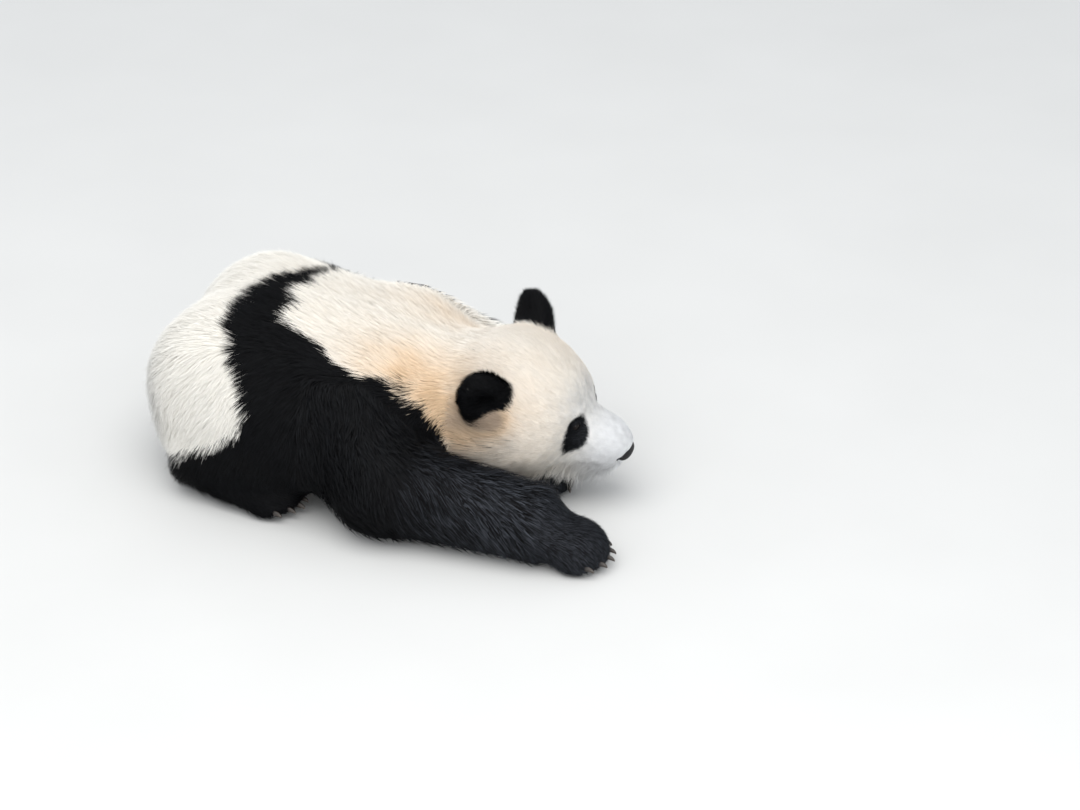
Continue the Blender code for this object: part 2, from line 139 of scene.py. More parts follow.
# The legs are black outside LEG_SIDE, below a line through LEG_FROM and LEG_LINE, and ahead of LEG_REAR
LEG_SIDE = 0.12
LEG_FROM, LEG_LINE, LEG_SLOPE = -0.015, 0.155, 0.60
LEG_REAR, LEG_REAR_SLOPE = -0.190, 0.8
PATCH_AT = np.array((0.0965, 0.0510, -0.0105))
PATCH_LONG = np.array((-0.165, 0.540, -0.825)) / np.linalg.norm((-0.165, 0.540, -0.825))
PATCH_SHORT = np.array((0.715, -0.540, -0.496)) / np.linalg.norm((0.715, -0.540, -0.496))
PATCH_SIZE = (0.0368, 0.0228, 0.0300)
PATCH_TAPER = 0.10
PATCH_FADE = 0.020
LEFT_PATCH_SHIFT = np.array((-0.006, 0.0075, -0.007))
NOSE_WING = ((0.1690, -0.0260, -0.0550), (0.012, 0.0080, 0.0040))
EAR_NOTCH = ((0.012, -0.004, -0.046), (0.024, 0.020, 0.016))

# Tints of the white coat on the right side, mirrored to the left: share, centre and radii. The first trunk bump and
# the first head bump run past 1 into painted brown shade, in the neck's crease by the shoulder and under the ear. The
# head's are in its own frame, and HEAD_GREY has a second share, which is mottled
NAPE_WARM = ((0.230, -0.110, 0.230), (0.105, 0.080, 0.055))
TRUNK_WARM_AND_SHADE = (
    # Painted shade: brown in the crease of the neck by the shoulder
    (1.35, (0.305, -0.132, 0.165), (0.058, 0.055, 0.050)),
    (0.12, (0.100, -0.060, 0.270), (0.200, 0.160, 0.080)),
)
HEAD_WARM_AND_SHADE = (
    # Painted shade: brown under the ear
    (0.95, (-0.030, -0.122, 0.034), (0.034, 0.032, 0.030)),
    (0.22, (0.020, -0.100, 0.030), (0.090, 0.080, 0.080)),
    (0.10, (0.000, -0.030, 0.110), (0.090, 0.090, 0.060)),
)
HEAD_GREY = (
    (0.28, 0.05, (0.080, -0.025, 0.036), (0.030, 0.045, 0.026)),
    (0.24, 0.16, (0.070, -0.078, -0.050), (0.022, 0.040, 0.040)),
    (0.55, 0.30, (0.090, -0.030, -0.110), (0.080, 0.060, 0.022)),
)

# Coat on each part: how deep it lies over the skin, how long and how wide its locks are
COAT = {
    "head": (0.0080, 0.020, 0.0017),
    "neck": (0.0120, 0.030, 0.0021),
    "chest": (0.0130, 0.032, 0.0023),
    "abdomen": (0.0130, 0.032, 0.0023),
    "rump": (0.0130, 0.032, 0.0023),
    "tail": (0.0130, 0.034, 0.0024),
    "ear": (0.0085, 0.023, 0.0016),
    "upper_arm": (0.0140, 0.034, 0.0024),
    "forearm": (0.0140, 0.042, 0.0020),
    "forepaw": (0.0070, 0.018, 0.0019),
    "thigh": (0.0140, 0.034, 0.0024),
    "hind_foot": (0.0080, 0.020, 0.0020),
}
COAT_AT_NOSE = (0.0024, 0.0072, 0.0012)
COAT_ROUNDS, CHIN_ROUNDS, LIE_ROUNDS = 26, 12, 10
# How much deeper and longer the coat is at the chin, in metres, and by the eyes and on the lips' edge, as shares
CHIN_FRINGE = (0.0055, 0.014)
BY_EYE = (-0.60, -0.55)
BY_LIP = (0.35, -0.60)
COAT_LAYERS = 20.0
COAT_TRIANGLES = 1480000
PIECE_TRIANGLES = 198000
LOCKS_IN_TUFT = 14
LENGTH_SPREAD = (0.72, 1.22)
WIDTH_SPREAD = (0.75, 1.25)
RISE_LIMITS = (0.25, 1.35)
ROOT_DEPTH = 0.0012
# A lock's three ridges: across and up, in its widths
LOCK_RIDGES = ((-0.5, 0.0), (0.5, 0.0), (0.0, 0.26))
# Each piece of coat: the parts it covers, the segments in a lock, how gathered, how high and how stray the locks are
COAT_PIECES = {
    "coat_crown": (["head"], 1, 0.15, 0.95, 0.01),
    "coat_neck": (["neck"], 1, 0.15, 0.95, 0.01),
    "coat_shoulders": (["chest"], 1, 0.18, 0.95, 0.01),
    "coat_back": (["abdomen"], 1, 0.18, 0.95, 0.01),
    "coat_rump": (["rump", "tail"], 1, 0.18, 0.95, 0.01),
    "coat_ears": (["right_ear", "left_ear"], 1, 0.15, 1.15, 0.12),
    "coat_paws": (["right_forepaw", "left_forepaw", "right_hind_foot", "left_hind_foot"], 1, 0.30, 1.0, 0.03),
}
for word in SIDES.values():
    COAT_PIECES["coat_" + word + "_shoulder"] = ([word + "_upper_arm"], 2, 0.35, 0.95, 0.10)
    COAT_PIECES["coat_" + word + "_forearm"] = ([word + "_forearm"], 2, 0.35, 0.95, 0.10)
    COAT_PIECES["coat_" + word + "_thigh"] = ([word + "_thigh"], 1, 0.25, 0.95, 0.02)
FACE_COAT = (1, 0.20, 0.90, 0.01)
FACE_FROM = 0.045
# The coat's map: the side of each lock's patch, and the margin that is left free
TUFT_PATCH = 0.003
ATLAS_EDGE = 0.002

# Skin: the flesh solids are welded, swollen until the gaps between them close, and made one surface
SKIN_VOXEL = 0.0046
WELD = 0.00002
SWELL = 0.0006
SINK_STEPS = 4

# Colours
WHITE = (0.87, 0.85, 0.80)
# Painted shade: the white at each lock's root, darker where the locks shade each other; the skin under the coat takes
# three tenths of the way to the tip colour
WHITE_ROOT_SHADE = (0.79, 0.765, 0.705)
COOL_WHITE = (0.72, 0.73, 0.745)
APRICOT = (0.77, 0.575, 0.375)
# Painted shade: the dark brown that warm shares past 0.75 are mixed toward, in the neck's crease and under and before
# the ears
SHADE_BROWN = (0.33, 0.235, 0.158)
ASH = (0.46, 0.47, 0.48)
# Painted shade: the black at each lock's root, darker than at its tip
BLACK_ROOT_SHADE = (0.0030, 0.0030, 0.0034)
BLACK_TIP = (0.0070, 0.0077, 0.0090)
# Painted sheen: the pale blue-grey that the tips of some black locks on the forearms are mixed toward
BLACK_SHEEN = (0.070, 0.077, 0.092)
NOSE_SKIN = ((0.005, 0.0045, 0.005), (0.014, 0.012, 0.013))
PUPIL = (0.002, 0.002, 0.002)
IRIS = ((0.003, 0.0016, 0.0012), (0.007, 0.0036, 0.0023))
EYE_RIM = ((0.008, 0.006, 0.005), (0.016, 0.011, 0.010))
HORN = ((0.020, 0.016, 0.014), (0.075, 0.060, 0.048))
HORN_STREAK = (0.014, 0.012, 0.010)
FLOOR = ((0.55, 0.55, 0.54), (0.59, 0.59, 0.58))
DAYLIGHT = (0.93, 0.96, 1.0, 1.0)

# Lamps: name, width, depth, power, colour and place
LAMPS = (
    ("soft box", 4.0, 4.0, 124.0, (1.0, 0.985, 0.96), (0.1, -1.3, 3.7)),
    ("low fill", 2.0, 0.7, 27.0, (1.0, 1.0, 1.0), (1.9, -2.2, 0.55)),
)
LAMP_AIM = Vector((0.2, 0.0, 0.1))
DAYLIGHT_STRENGTH = 1.06

CAMERA_AIM = Vector((0.4126, -0.0004, 0.1572))
CAMERA_AZIMUTH = math.radians(20.0)
CAMERA_ELEVATION = math.radians(28.0)
CAMERA_DISTANCE = 6.0
CAMERA_LENS = 120.0

random = np.random.default_rng(11)


# ---------------------------------------------------------------- small helpers


def deselect():
    bpy.ops.object.select_all(action="DESELECT")


def take(*objects):
    """Selects these objects alone, the last one active."""
    deselect()
    for obj in objects:
        obj.select_set(True)
    bpy.context.view_layer.objects.active = objects[-1]


def new_object(name, data):
    obj = bpy.data.objects.new(name, data)
    bpy.context.scene.collection.objects.link(obj)
    return obj


def unit(vectors):
    return vectors / np.maximum(np.linalg.norm(vectors, axis=-1, keepdims=True), 1e-12)


def ramp(value, low, high):
    """0 up to low, 1 from high, smooth between; low may be the greater."""
    share = np.clip((value - low) / (high - low), 0.0, 1.0)
    return share * share * (3.0 - 2.0 * share)


def to_head(points):
    return (points - HEAD_AT) @ HEAD_TURN


def from_head(points):
    return points @ HEAD_TURN.T + HEAD_AT


def vertex_places(mesh):
    places = np.empty(len(mesh.vertices) * 3)
    mesh.vertices.foreach_get("co", places)
    return places.reshape(-1, 3)


def vertex_normals(mesh):
    normals = np.empty(len(mesh.vertices) * 3)
    mesh.vertex_normals.foreach_get("vector", normals)
    return normals.reshape(-1, 3)


def move_vertices(mesh, places):
    mesh.vertices.foreach_set("co", places.ravel())
    mesh.update()


def edge_ends(mesh):
    ends = np.empty(len(mesh.edges) * 2, dtype=np.int64)
    mesh.edges.foreach_get("vertices", ends)
    return ends.reshape(-1, 2)


def even_out(values, ends, rounds, share=0.5):
    """Averages values with their neighbours' over a mesh, rounds times."""
    values = np.array(values, dtype=float)
    flat = values.reshape(len(values), -1)
    size = len(flat)
    degree = np.maximum(np.bincount(ends.ravel(), minlength=size), 1)
    near, far = ends[:, 0], ends[:, 1]
    for _ in range(rounds):
        for column in range(flat.shape[1]):
            total = np.bincount(near, flat[far, column], size) + np.bincount(far, flat[near, column], size)
            flat[:, column] += share * (total / degree - flat[:, column])
    return flat.reshape(values.shape)


def ripple(points, size, seed):
    """Smooth noise between -1 and 1, its waves about this size, the same at the same place."""
    source = np.random.default_rng(seed)
    total = np.zeros(len(points))
    waves = 9
    for _ in range(waves):
        direction = unit(source.normal(size=3))
        pitch = math.tau / (size * source.uniform(0.7, 1.6))
        total += np.sin(points @ direction * pitch + source.uniform(0.0, math.tau))
    return total / math.sqrt(waves / 2.0) / 1.6


# ---------------------------------------------------------------- markings


def bump_at(points, centre, radii):
    """1 at a place, falling off smoothly over these three radii."""
    return np.exp(-(((points - np.array(centre)) / np.array(radii)) ** 2).sum(axis=1))


def right_side(points):
    """The same places folded over to the right side."""
    return np.stack([points[:, 0], -np.abs(points[:, 1]), points[:, 2]], axis=1)


def band_front(points):
    """How far forward the black of band and shoulders reaches at each place; on the left side it starts lower."""
    fore, across, height = points.T
    level = 0.205 - 0.085 * ramp(fore, 0.14, 0.215)
    high_left = ramp(across, 0.05, 0.15) * ramp(height - level, 0.0, 0.06)
    fall = BACK_TOP - height - 0.07 * high_left
    saddle = 0.034 * ramp(across, 0.09, -0.05) * ramp(fall, 0.02, 0.0)
    return BAND_FRONT - saddle + 0.20 * ramp(fall, 0.02, 0.085) + 0.105 * ramp(fall, 0.05, 0.19)


def band_rear(points):
    """How far back the band reaches: it is narrow left of the spine and low on the right flank."""
    away = np.maximum(SPINE_SIDE - points[:, 1], (points[:, 1] - FAR_SIDE) * 3.5)
    flank = ramp(BACK_TOP - points[:, 2], -0.01, 0.14) * ramp(points[:, 1], -0.08, -0.20)
    return BAND_REAR - 0.075 * ramp(away, -0.02, 0.13) + 0.08 * flank


def by_ear(points, side):
    """These places in the frame of one ear."""
    return (to_head(points) - EAR_AT * (1.0, side, 1.0)) @ EAR_TURN[side]


def ear_reach(points):
    """How far each place lies from the nearer ear's middle, in the ear's radii: 1 on its surface."""
    return np.min([np.linalg.norm(by_ear(points, side) / EAR_RADII, axis=1) for side in SIDES], axis=0)


def ear_notch(points):
    """1 at the notch low in front of each ear, kept out of the black and tinted warm deep into painted brown shade, 0
    away from it.
    """
    centre, radii = EAR_NOTCH
    centres = {side: np.array(centre) * (1.0, side, 1.0) for side in SIDES}
    return np.max([bump_at(by_ear(points, side), centres[side], radii) for side in SIDES], axis=0)


def patch_reach(local, side):
    """1 on the edge of the dark patch round an eye, less inside it."""
    offset = local * (1.0, side, 1.0) - PATCH_AT - (LEFT_PATCH_SHIFT if side > 0 else 0.0)
    along = offset @ PATCH_LONG / PATCH_SIZE[0]
    across = offset @ PATCH_SHORT / PATCH_SIZE[1] / (1.0 + PATCH_TAPER * along)
    out = offset @ np.cross(PATCH_LONG, PATCH_SHORT) / PATCH_SIZE[2]
    return np.sqrt(along**2 + across**2 + out**2)


def head_dark(points, wobble):
    """How far inside the eye patches, the ears' black or the nose's wings each place on the head lies."""
    local = to_head(points)
    patch = np.minimum(patch_reach(local, -1), patch_reach(local, 1))
    behind_ear = 1.08 - ear_reach(points + HEAD_TURN @ (0.004, 0.0, 0.009)) - 0.8 * ear_notch(points)
    wing = (bump_at(right_side(local), *NOSE_WING) - 0.45) * 0.02
    return np.max([(1.0 - patch) * PATCH_FADE + wobble * 0.2, behind_ear * EAR_SIZE, wing], axis=0)


def dark_depth(points, part):
    """How far inside the black markings each place lies, in metres, negative outside, by the part it belongs to."""
    fore, height = points[:, 0], points[:, 2]
    wobble = sum(swing * ripple(points, size, seed) for swing, size, seed in EDGE_WOBBLE)
    front = band_front(points) - fore
    depth = np.minimum(front, fore - band_rear(points)) + wobble
    rising = 0.07 * ramp(0.24 - fore, 0.0, 0.20)
    leg_line = LEG_LINE + LEG_SLOPE * (fore - LEG_FROM) - height
    leg_line = np.minimum(leg_line, LEG_REAR_SLOPE * (fore - LEG_REAR))
    for side, word in SIDES.items():
        depth[np.isin(part, [word + "_forearm", word + "_forepaw", word + "_hind_foot"])] = DARK_LIMIT
        upper = part == word + "_upper_arm"
        top = WHITE_ABOVE[side] + (rising if side > 0 else 0.0)
        depth[upper] = np.maximum(front + wobble, top - height)[upper]
    leg = np.isin(part, ["right_thigh", "left_thigh"])
    leg |= np.isin(part, ["rump", "abdomen"]) & (np.abs(points[:, 1]) > LEG_SIDE)
    depth[leg] = np.maximum(depth, leg_line + wobble)[leg]
    chest = np.isin(part, ["chest", "neck"])
    depth[chest] = np.maximum(depth, np.minimum(front, CHEST_DARK - height))[chest]
    head = part == "head"
    depth[head] = head_dark(points, wobble)[head]
    ear = np.char.endswith(part.astype(str), "_ear")
    depth[ear] = np.minimum((1.14 - ear_reach(points)) * EAR_SIZE, DARK_LIMIT)[ear]
    depth[ear] -= 0.03 * ear_notch(points)[ear]
    return np.clip(depth, -DARK_LIMIT, DARK_LIMIT)


def warm_and_shade_share(points, on_head):
    """How far each place's white is tinted apricot: nape, sides of the neck, below the ears, cheeks and crown; past
    0.75 it turns to painted brown shade in the neck's crease by the shoulder, below the ears and in the notches
    before them.
    """
    local = to_head(points)
    warm_and_shade = 0.86 * bump_at(right_side(points), *NAPE_WARM)
    warm_and_shade *= 1.0 - 0.55 * ramp(points[:, 1], -0.02, 0.08)
    for share, centre, radii in TRUNK_WARM_AND_SHADE:
        warm_and_shade += share * bump_at(right_side(points), centre, radii)
    for share, centre, radii in HEAD_WARM_AND_SHADE:
        warm_and_shade += on_head * share * bump_at(right_side(local), centre, radii)
    warm_and_shade += on_head * 0.12 * ramp(local[:, 0], 0.110, 0.040)
    # Painted shade: the notch before each ear gets a share far past 1, deep into the shade brown
    warm_and_shade += 1.3 * ear_notch(points)
    warm_and_shade *= 1.0 + 0.10 * ripple(points, 0.05, 5)
    return np.clip(warm_and_shade, 0.0, 2.0)


def grey_share(points, on_head):
    """How far each place's white is greyed: brow, cheeks, chin and crown, the rump's end as painted shade that is
    partly dirt, and low down.
    """
    local = to_head(points)
    mottle = ripple(points, 0.010, 6)
    grey = np.zeros(len(points))
    for share, mottled, centre, radii in HEAD_GREY:
        grey += on_head * (share + mottled * mottle) * bump_at(right_side(local), centre, radii)
    grey += on_head * 0.10 * (1.0 + mottle) * ramp(local[:, 0], 0.06, 0.10)
    grey += on_head * 0.22 * (1.0 + 0.12 * mottle) * ramp(local[:, 2], -0.05, 0.02)
    # Painted shade, partly dirt: the rump's end is greyed
    grey += 0.85 * ramp(points[:, 0], -0.15, -0.24) * ramp(points[:, 2], 0.30, 0.10)
    grey += 0.30 * ramp(points[:, 2], 0.10, 0.02)
    return np.clip(grey, 0.0, 1.0)


def cool_and_sheen_share(points, part, on_head):
    """How cool the muzzle's white is, and how much painted sheen the forearms' black carries."""
    cool_and_sheen = on_head * 0.9 * ramp(to_head(points)[:, 0], 0.055, 0.145)
    # On the forearms and forepaws this share is painted sheen, rising from the elbow toward the paw
    for side, word in SIDES.items():
        arm = unit(WRIST[side] - ELBOW[side])
        on_arm = np.isin(part, [word + "_forearm", word + "_forepaw"])
        cool_and_sheen = np.maximum(cool_and_sheen, ramp((points - ELBOW[side]) @ arm, -0.02, 0.26) * on_arm)
    return cool_and_sheen


def markings(points, part):
    """Depth inside the black, the warm share with its painted brown shade, the grey share, and the share of cool
    muzzle white and painted sheen on the forearms, at each place.
    """
    on_head = part == "head"
    warm_and_shade, grey = warm_and_shade_share(points, on_head), grey_share(points, on_head)
    return dark_depth(points, part), warm_and_shade, grey, cool_and_sheen_share(points, part, on_head)


# ---------------------------------------------------------------- skin


def solids_lookup():
    """A search tree over all flesh solids, with the name of the part each triangle belongs to."""
    places, triangles, names = [], [], []
    start = 0
    for name in FLESH:
        mesh = NODES[name].data
        here = vertex_places(mesh)
        mesh.calc_loop_triangles()
        corners = np.empty(len(mesh.loop_triangles) * 3, dtype=np.int64)
        mesh.loop_triangles.foreach_get("vertices", corners)
        places.append(here)
        triangles.append(corners.reshape(-1, 3) + start)
        names += [name] * (len(corners) // 3)
        start += len(here)
    tree = BVHTree.FromPolygons(np.concatenate(places).tolist(), np.concatenate(triangles).tolist())
    return tree, np.array(names)


def part_of(points, tree, names):
    """The part each place belongs to; an ear's base and the chin's rim on the paw count as head."""
    part = names[[tree.find_nearest(point)[2] for point in points.tolist()]].astype("<U24")
    part[np.char.endswith(part, "_ear") & (ear_reach(points) > EAR_BASE)] = "head"
    jaw = np.linalg.norm((to_head(points) - JAW_AT) / JAW_SIZE, axis=1)
    part[(part == "left_forepaw") & (jaw < JAW_RIM)] = "head"
    return part


def joined_flesh():
    """One object of all flesh solids and the eyes, welded and swollen until their thin gaps close."""
    copies = []
    for name in FLESH + ["right_eye", "left_eye"]:
        copies.append(new_object("flesh", NODES[name].data.copy()))
        copies[-1].data.materials.clear()
    take(*copies)
    bpy.ops.object.join()
    flesh = bpy.context.view_layer.objects.active
    bpy.ops.object.mode_set(mode="EDIT")
    bpy.ops.mesh.select_all(action="SELECT")
    bpy.ops.mesh.remove_doubles(threshold=WELD)
    bpy.ops.object.mode_set(mode="OBJECT")
    swell = flesh.modifiers.new("swell", "DISPLACE")
    swell.strength = SWELL
    swell.mid_level = 0.0
    bpy.ops.object.modifier_apply(modifier="swell")
    return flesh


def refine(obj, chosen, cuts):
    """Cuts the faces whose middles are chosen into smaller ones."""
    mesh = obj.data
    centres = np.array([face.center for face in mesh.polygons])
    picked = chosen(centres)
    take(obj)
    bpy.ops.object.mode_set(mode="EDIT")
    bpy.ops.mesh.select_mode(type="FACE")
    bpy.ops.mesh.select_all(action="DESELECT")
    bpy.ops.object.mode_set(mode="OBJECT")
    mesh.polygons.foreach_set("select", picked)
    bpy.ops.object.mode_set(mode="EDIT")
    bpy.ops.mesh.subdivide(number_cuts=cuts, smoothness=0.0)
    bpy.ops.object.mode_set(mode="OBJECT")


def middle_of(node):
    """The middle of a node's box."""
    low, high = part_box(node)
    return (np.array(low) + np.array(high)) / 2.0


def find_eyes():
    """Where each eyeball sits and looks."""
    eyes = {}
    for side, word in SIDES.items():
        centre = middle_of(word + "_eye")
        gaze = unit(np.array((math.cos(EYE_TURN), side * math.sin(EYE_TURN), EYE_LIFT)) @ HEAD_TURN.T)
        eyes[side] = {"centre": centre, "gaze": gaze, "local": to_head(centre[None])[0]}
    return eyes


EYES = find_eyes()


def eye_axes(eye):
    """Across, up and out, for one eye."""
    out = eye["gaze"]
    across = unit(np.cross(HEAD_TURN @ np.array((0.0, 0.0, 1.0)), out))
    return across, np.cross(out, across), out


def shape_face(points, normals):
    """Eye hollows, brows, mouth, lips and bridge of the nose, as moves of the skin's points along their normals."""
    local = to_head(points)
    fore, across, height = local.T
    move = np.zeros(len(points))
    for eye in EYES.values():
        away = np.linalg.norm(local - eye["local"] - (0.0, 0.0, -0.002), axis=1)
        move -= HOLLOW_DEPTH * ramp(away, EYE_HOLLOW, 0.012)
    for side in SIDES:
        for rise, centre, radii in FACE_BUMPS:
            move += rise * bump_at(local * (1.0, -side, 1.0), centre, radii)
    muzzle = ramp(fore, 0.070, 0.090)
    line = MOUTH_HEIGHT - 0.06 * (0.165 - fore) + 0.006 * ramp(fore, 0.100, 0.070)
    move -= MOUTH_FOLD * np.exp(-(((height - line) / 0.0035) ** 2)) * muzzle * ramp(fore, 0.076, 0.090)
    move += LIP_SWELL * np.exp(-(((height - line - 0.009) / 0.006) ** 2)) * muzzle
    split = np.exp(-((across / 0.0022) ** 2)) * ramp(fore, 0.140, 0.155) * ramp(height, -0.060, -0.068)
    move -= LIP_SPLIT * split
    facing_up = ramp((normals @ HEAD_TURN)[:, 2], 0.2, 0.7)
    bridge = np.exp(-((across / 0.016) ** 2)) * ramp(fore, 0.100, 0.125) * facing_up
    move -= BRIDGE_DIP * bridge
    return points + normals * move[:, None]


def shape_lids(points):
    """Wraps the skin round each eyeball and leaves an almond opening; also tells where the lids are dark and bare."""
    points = points.copy()
    bare = np.zeros(len(points))
    for eye in EYES.values():
        offset = points - eye["centre"]
        reach = np.linalg.norm(offset, axis=1)
        ray = unit(offset)
        across, up, out = eye_axes(eye)
        facing = ray @ out
        wide = np.arctan2(ray @ across, facing)
        high = np.arctan2(ray @ up, np.maximum(facing, 0.05))
        angle = np.arccos(np.clip(facing, -1.0, 1.0))
        arch = np.where(high > 0.0, UPPER_LID, LOWER_LID)
        opening = np.abs(high) - arch * np.maximum(1.0 - (np.abs(wide) / LID_WIDTH) ** 2.2, -0.6)
        rim = LID_SHELL + LID_SWELL * ramp(opening, *LID_RIM)
        shell = np.where(opening < 0.0, BEHIND_BALL, rim)
        wanted = reach + (shell - reach) * ramp(angle, *LID_BLEND)
        wanted = np.where(opening < 0.0, shell, np.maximum(wanted, rim))
        near = (reach < EYE_HOLLOW) & (angle < LID_END)
        points[near] = (eye["centre"] + ray * wanted[:, None])[near]
        bare = np.maximum(bare, ramp(opening, *LID_DARK) * (angle < LID_BLEND[0]) * (reach < EYE_HOLLOW))
    return points, bare


def part_values(part, column):
    """A coat measure for each place, from the part it belongs to."""
    short = [name.split("_", 1)[1] if name.split("_")[0] in SIDES.values() else name for name in part]
    return np.array([COAT[name][column] for name in short])


def face_share(points, part):
    """0 on the crown and cheeks, 1 at the nose."""
    local = to_head(points)
    return np.where(part == "head", ramp(local[:, 0], 0.020, 0.135), 0.0)


def coat_measures(points, part, ends):
    """Depth, length and width of the coat at each of the skin's points, evened out, and the chin fringe's share."""
    face = face_share(points, part)
    local = to_head(points)
    chin = ramp(local[:, 2], -0.056, -0.080) * ramp(local[:, 0], 0.010, 0.050) * ramp(local[:, 0], 0.166, 0.148)
    chin = even_out(chin * (part == "head"), ends, CHIN_ROUNDS)
    measures = []
    for column, at_nose in enumerate(COAT_AT_NOSE):
        value = part_values(part, column)
        measures.append(even_out(value + (at_nose - value) * face, ends, COAT_ROUNDS))
    depth, length, width = measures
    return depth + CHIN_FRINGE[0] * chin, length + CHIN_FRINGE[1] * chin, width, chin


def lie_of_coat(points, normals, part, ends):
    """The coat's lie at each of the skin's points: back from the nose, down the sides and along the limbs."""
    flow = np.zeros_like(points)
    local = to_head(points)
    away = unit(local - NOSE_TIP)
    away[:, 2] -= 0.35 * ramp(local[:, 2], -0.02, -0.09) + 0.50 * ramp(local[:, 2], -0.055, -0.080)
    flow[part == "head"] = (away @ HEAD_TURN.T)[part == "head"]
    sag = ramp(points[:, 2], 0.28, 0.12)
    trunk = np.stack([-np.ones(len(points)), np.zeros(len(points)), -0.25 - 0.75 * sag], axis=1)
    on_trunk = np.isin(part, ["neck", "chest", "abdomen", "rump"])
    flow[on_trunk] = trunk[on_trunk]
    flow[part == "tail"] = (-0.3, 0.0, -1.0)
    for side, word in SIDES.items():
        lies = {
            "upper_arm": ELBOW[side] - SHOULDER[side] + (0.0, 0.0, -0.03),
            "forearm": WRIST[side] - ELBOW[side] + (0.0, 0.0, -0.26),
            "forepaw": TOES[side] - WRIST[side] + (0.0, 0.0, -0.05),
            "thigh": np.array((-0.35, 0.0, -1.0)),
            "hind_foot": HIND_TOES[side] - HEEL[side] + (0.0, 0.0, -0.02),
        }
        for limb, lie in lies.items():
            flow[part == word + "_" + limb] = unit(lie)
        ear = part == word + "_ear"
        root = middle_of(word + "_ear")
        root = root - 0.050 * unit(root - HEAD_AT - (-0.03, 0.0, 0.0))
        flow[ear] = unit(points[ear] - root)
    flow = unit(flow)
    for eye in EYES.values():
        offset = points - eye["centre"]
        near = ramp(np.linalg.norm(offset, axis=1), 0.019, 0.0125)[:, None]
        flow += (unit(offset - eye["gaze"] * (offset @ eye["gaze"])[:, None]) - flow) * near
    for _ in range(LIE_ROUNDS):
        flow -= normals * (flow * normals).sum(axis=1)[:, None]
        flow = even_out(unit(flow), ends, 3)
    flow -= normals * (flow * normals).sum(axis=1)[:, None]
    return unit(flow)


def on_muzzle(centres):
    fore, across, height = to_head(centres).T
    return (fore > 0.062) & (np.abs(across) < 0.085) & (height > -0.12) & (centres[:, 2] > 0.062)


def by_eyes(centres):
    near = [np.linalg.norm(centres - eye["centre"], axis=1) < 0.0185 for eye in EYES.values()]
    return near[0] | near[1]


def skin_surface():
    """One even surface over the flesh solids, finer on the face and finest round the eyes."""
    skin = joined_flesh()
    skin.name = "skin"
    skin.data.name = "skin"
    skin.data.remesh_voxel_size = SKIN_VOXEL
    skin.data.remesh_voxel_adaptivity = 0.0
    take(skin)
    bpy.ops.object.voxel_remesh()
    mesh = skin.data
    move_vertices(mesh, even_out(vertex_places(mesh), edge_ends(mesh), 10))
    refine(skin, on_muzzle, 1)
    refine(skin, by_eyes, 2)
    mesh = skin.data
    places = vertex_places(mesh)
    smooth = even_out(places, edge_ends(mesh), 8)
    share = ramp(to_head(places)[:, 0], 0.055, 0.075)[:, None] * (places[:, 2] > 0.05)[:, None]
    move_vertices(mesh, places + (smooth - places) * share)
    return skin


def build_skin(tree, names):
    """The skin, sunk by the coat's depth and shaped, with what the coat needs to know at each of its points."""
    skin = skin_surface()
    mesh = skin.data
    ends = edge_ends(mesh)
    places = vertex_places(mesh)
    depth, length, width, fluff = coat_measures(places, part_of(places, tree, names), ends)
    for _ in range(SINK_STEPS):
        normals = even_out(vertex_normals(mesh), ends, 3)
        move_vertices(mesh, vertex_places(mesh) - unit(normals) * (depth / SINK_STEPS)[:, None])
    places = even_out(vertex_places(mesh), ends, 1)
    move_vertices(mesh, shape_face(places, vertex_normals(mesh)))
    lids, bare = shape_lids(vertex_places(mesh))
    move_vertices(mesh, lids)
    places = vertex_places(mesh)
    normals = vertex_normals(mesh)
    part = part_of(places, tree, names)
    flow = lie_of_coat(places, unit(even_out(normals, ends, 4)), part, ends)
    changes = [(ramp(np.linalg.norm(places - eye["centre"], axis=1), 0.018, 0.0125), BY_EYE) for eye in EYES.values()]
    changes.append((bump_at(to_head(places), *LIP_EDGE), BY_LIP))
    for near, (deeper, longer) in changes:
        depth = depth * (1.0 + deeper * near)
        length = length * (1.0 + longer * near)
    for face in mesh.polygons:
        face.use_smooth = True
    return skin, {
        "places": places, "normals": normals, "part": part, "bare": bare,
        "depth": depth, "length": length, "width": width, "fluff": fluff, "flow": flow,
    }


def store(mesh, name, values):
    mesh.attributes.new(name, "FLOAT", "POINT").data.foreach_set("value", np.asarray(values, dtype=np.float32))


def store_marks(mesh, marks, along, lot):
    for name, values in zip(("dark", "warm_and_shade", "grey", "cool_and_sheen"), marks):
        store(mesh, name, values)
    store(mesh, "along", along)
    store(mesh, "lot", lot)


# ---------------------------------------------------------------- coat


def lock_triangles(segments):
    return segments * 6 - 2


def lock_template(segments):
    """Faces, and the place of each corner in a lock's patch, for a closed three-sided lock that ends in a point."""
    faces = [(0, 2, 1)]
    patch = [(0.0, 0.12), (0.5, 0.0), (1.0, 0.12)]
    rows = [0.15 + 0.85 * segment / segments for segment in range(segments)]
    for segment in range(segments - 1):
        low, high = rows[segment], rows[segment + 1]
        for side in range(3):
            here, following = segment * 3 + side, segment * 3 + (side + 1) % 3
            faces += [(here, following, following + 3), (here, following + 3, here + 3)]
            left, right = side / 3.0, (side + 1) / 3.0
            patch += [(left, low), (right, low), (right, high), (left, low), (right, high), (left, high)]
    base, low = (segments - 1) * 3, rows[segments - 1]
    for side in range(3):
        faces.append((base + side, base + (side + 1) % 3, base + 3))
        patch += [(side / 3.0, low), ((side + 1) / 3.0, low), ((side + 0.5) / 3.0, 1.0)]
    return np.array(faces), np.array(patch)


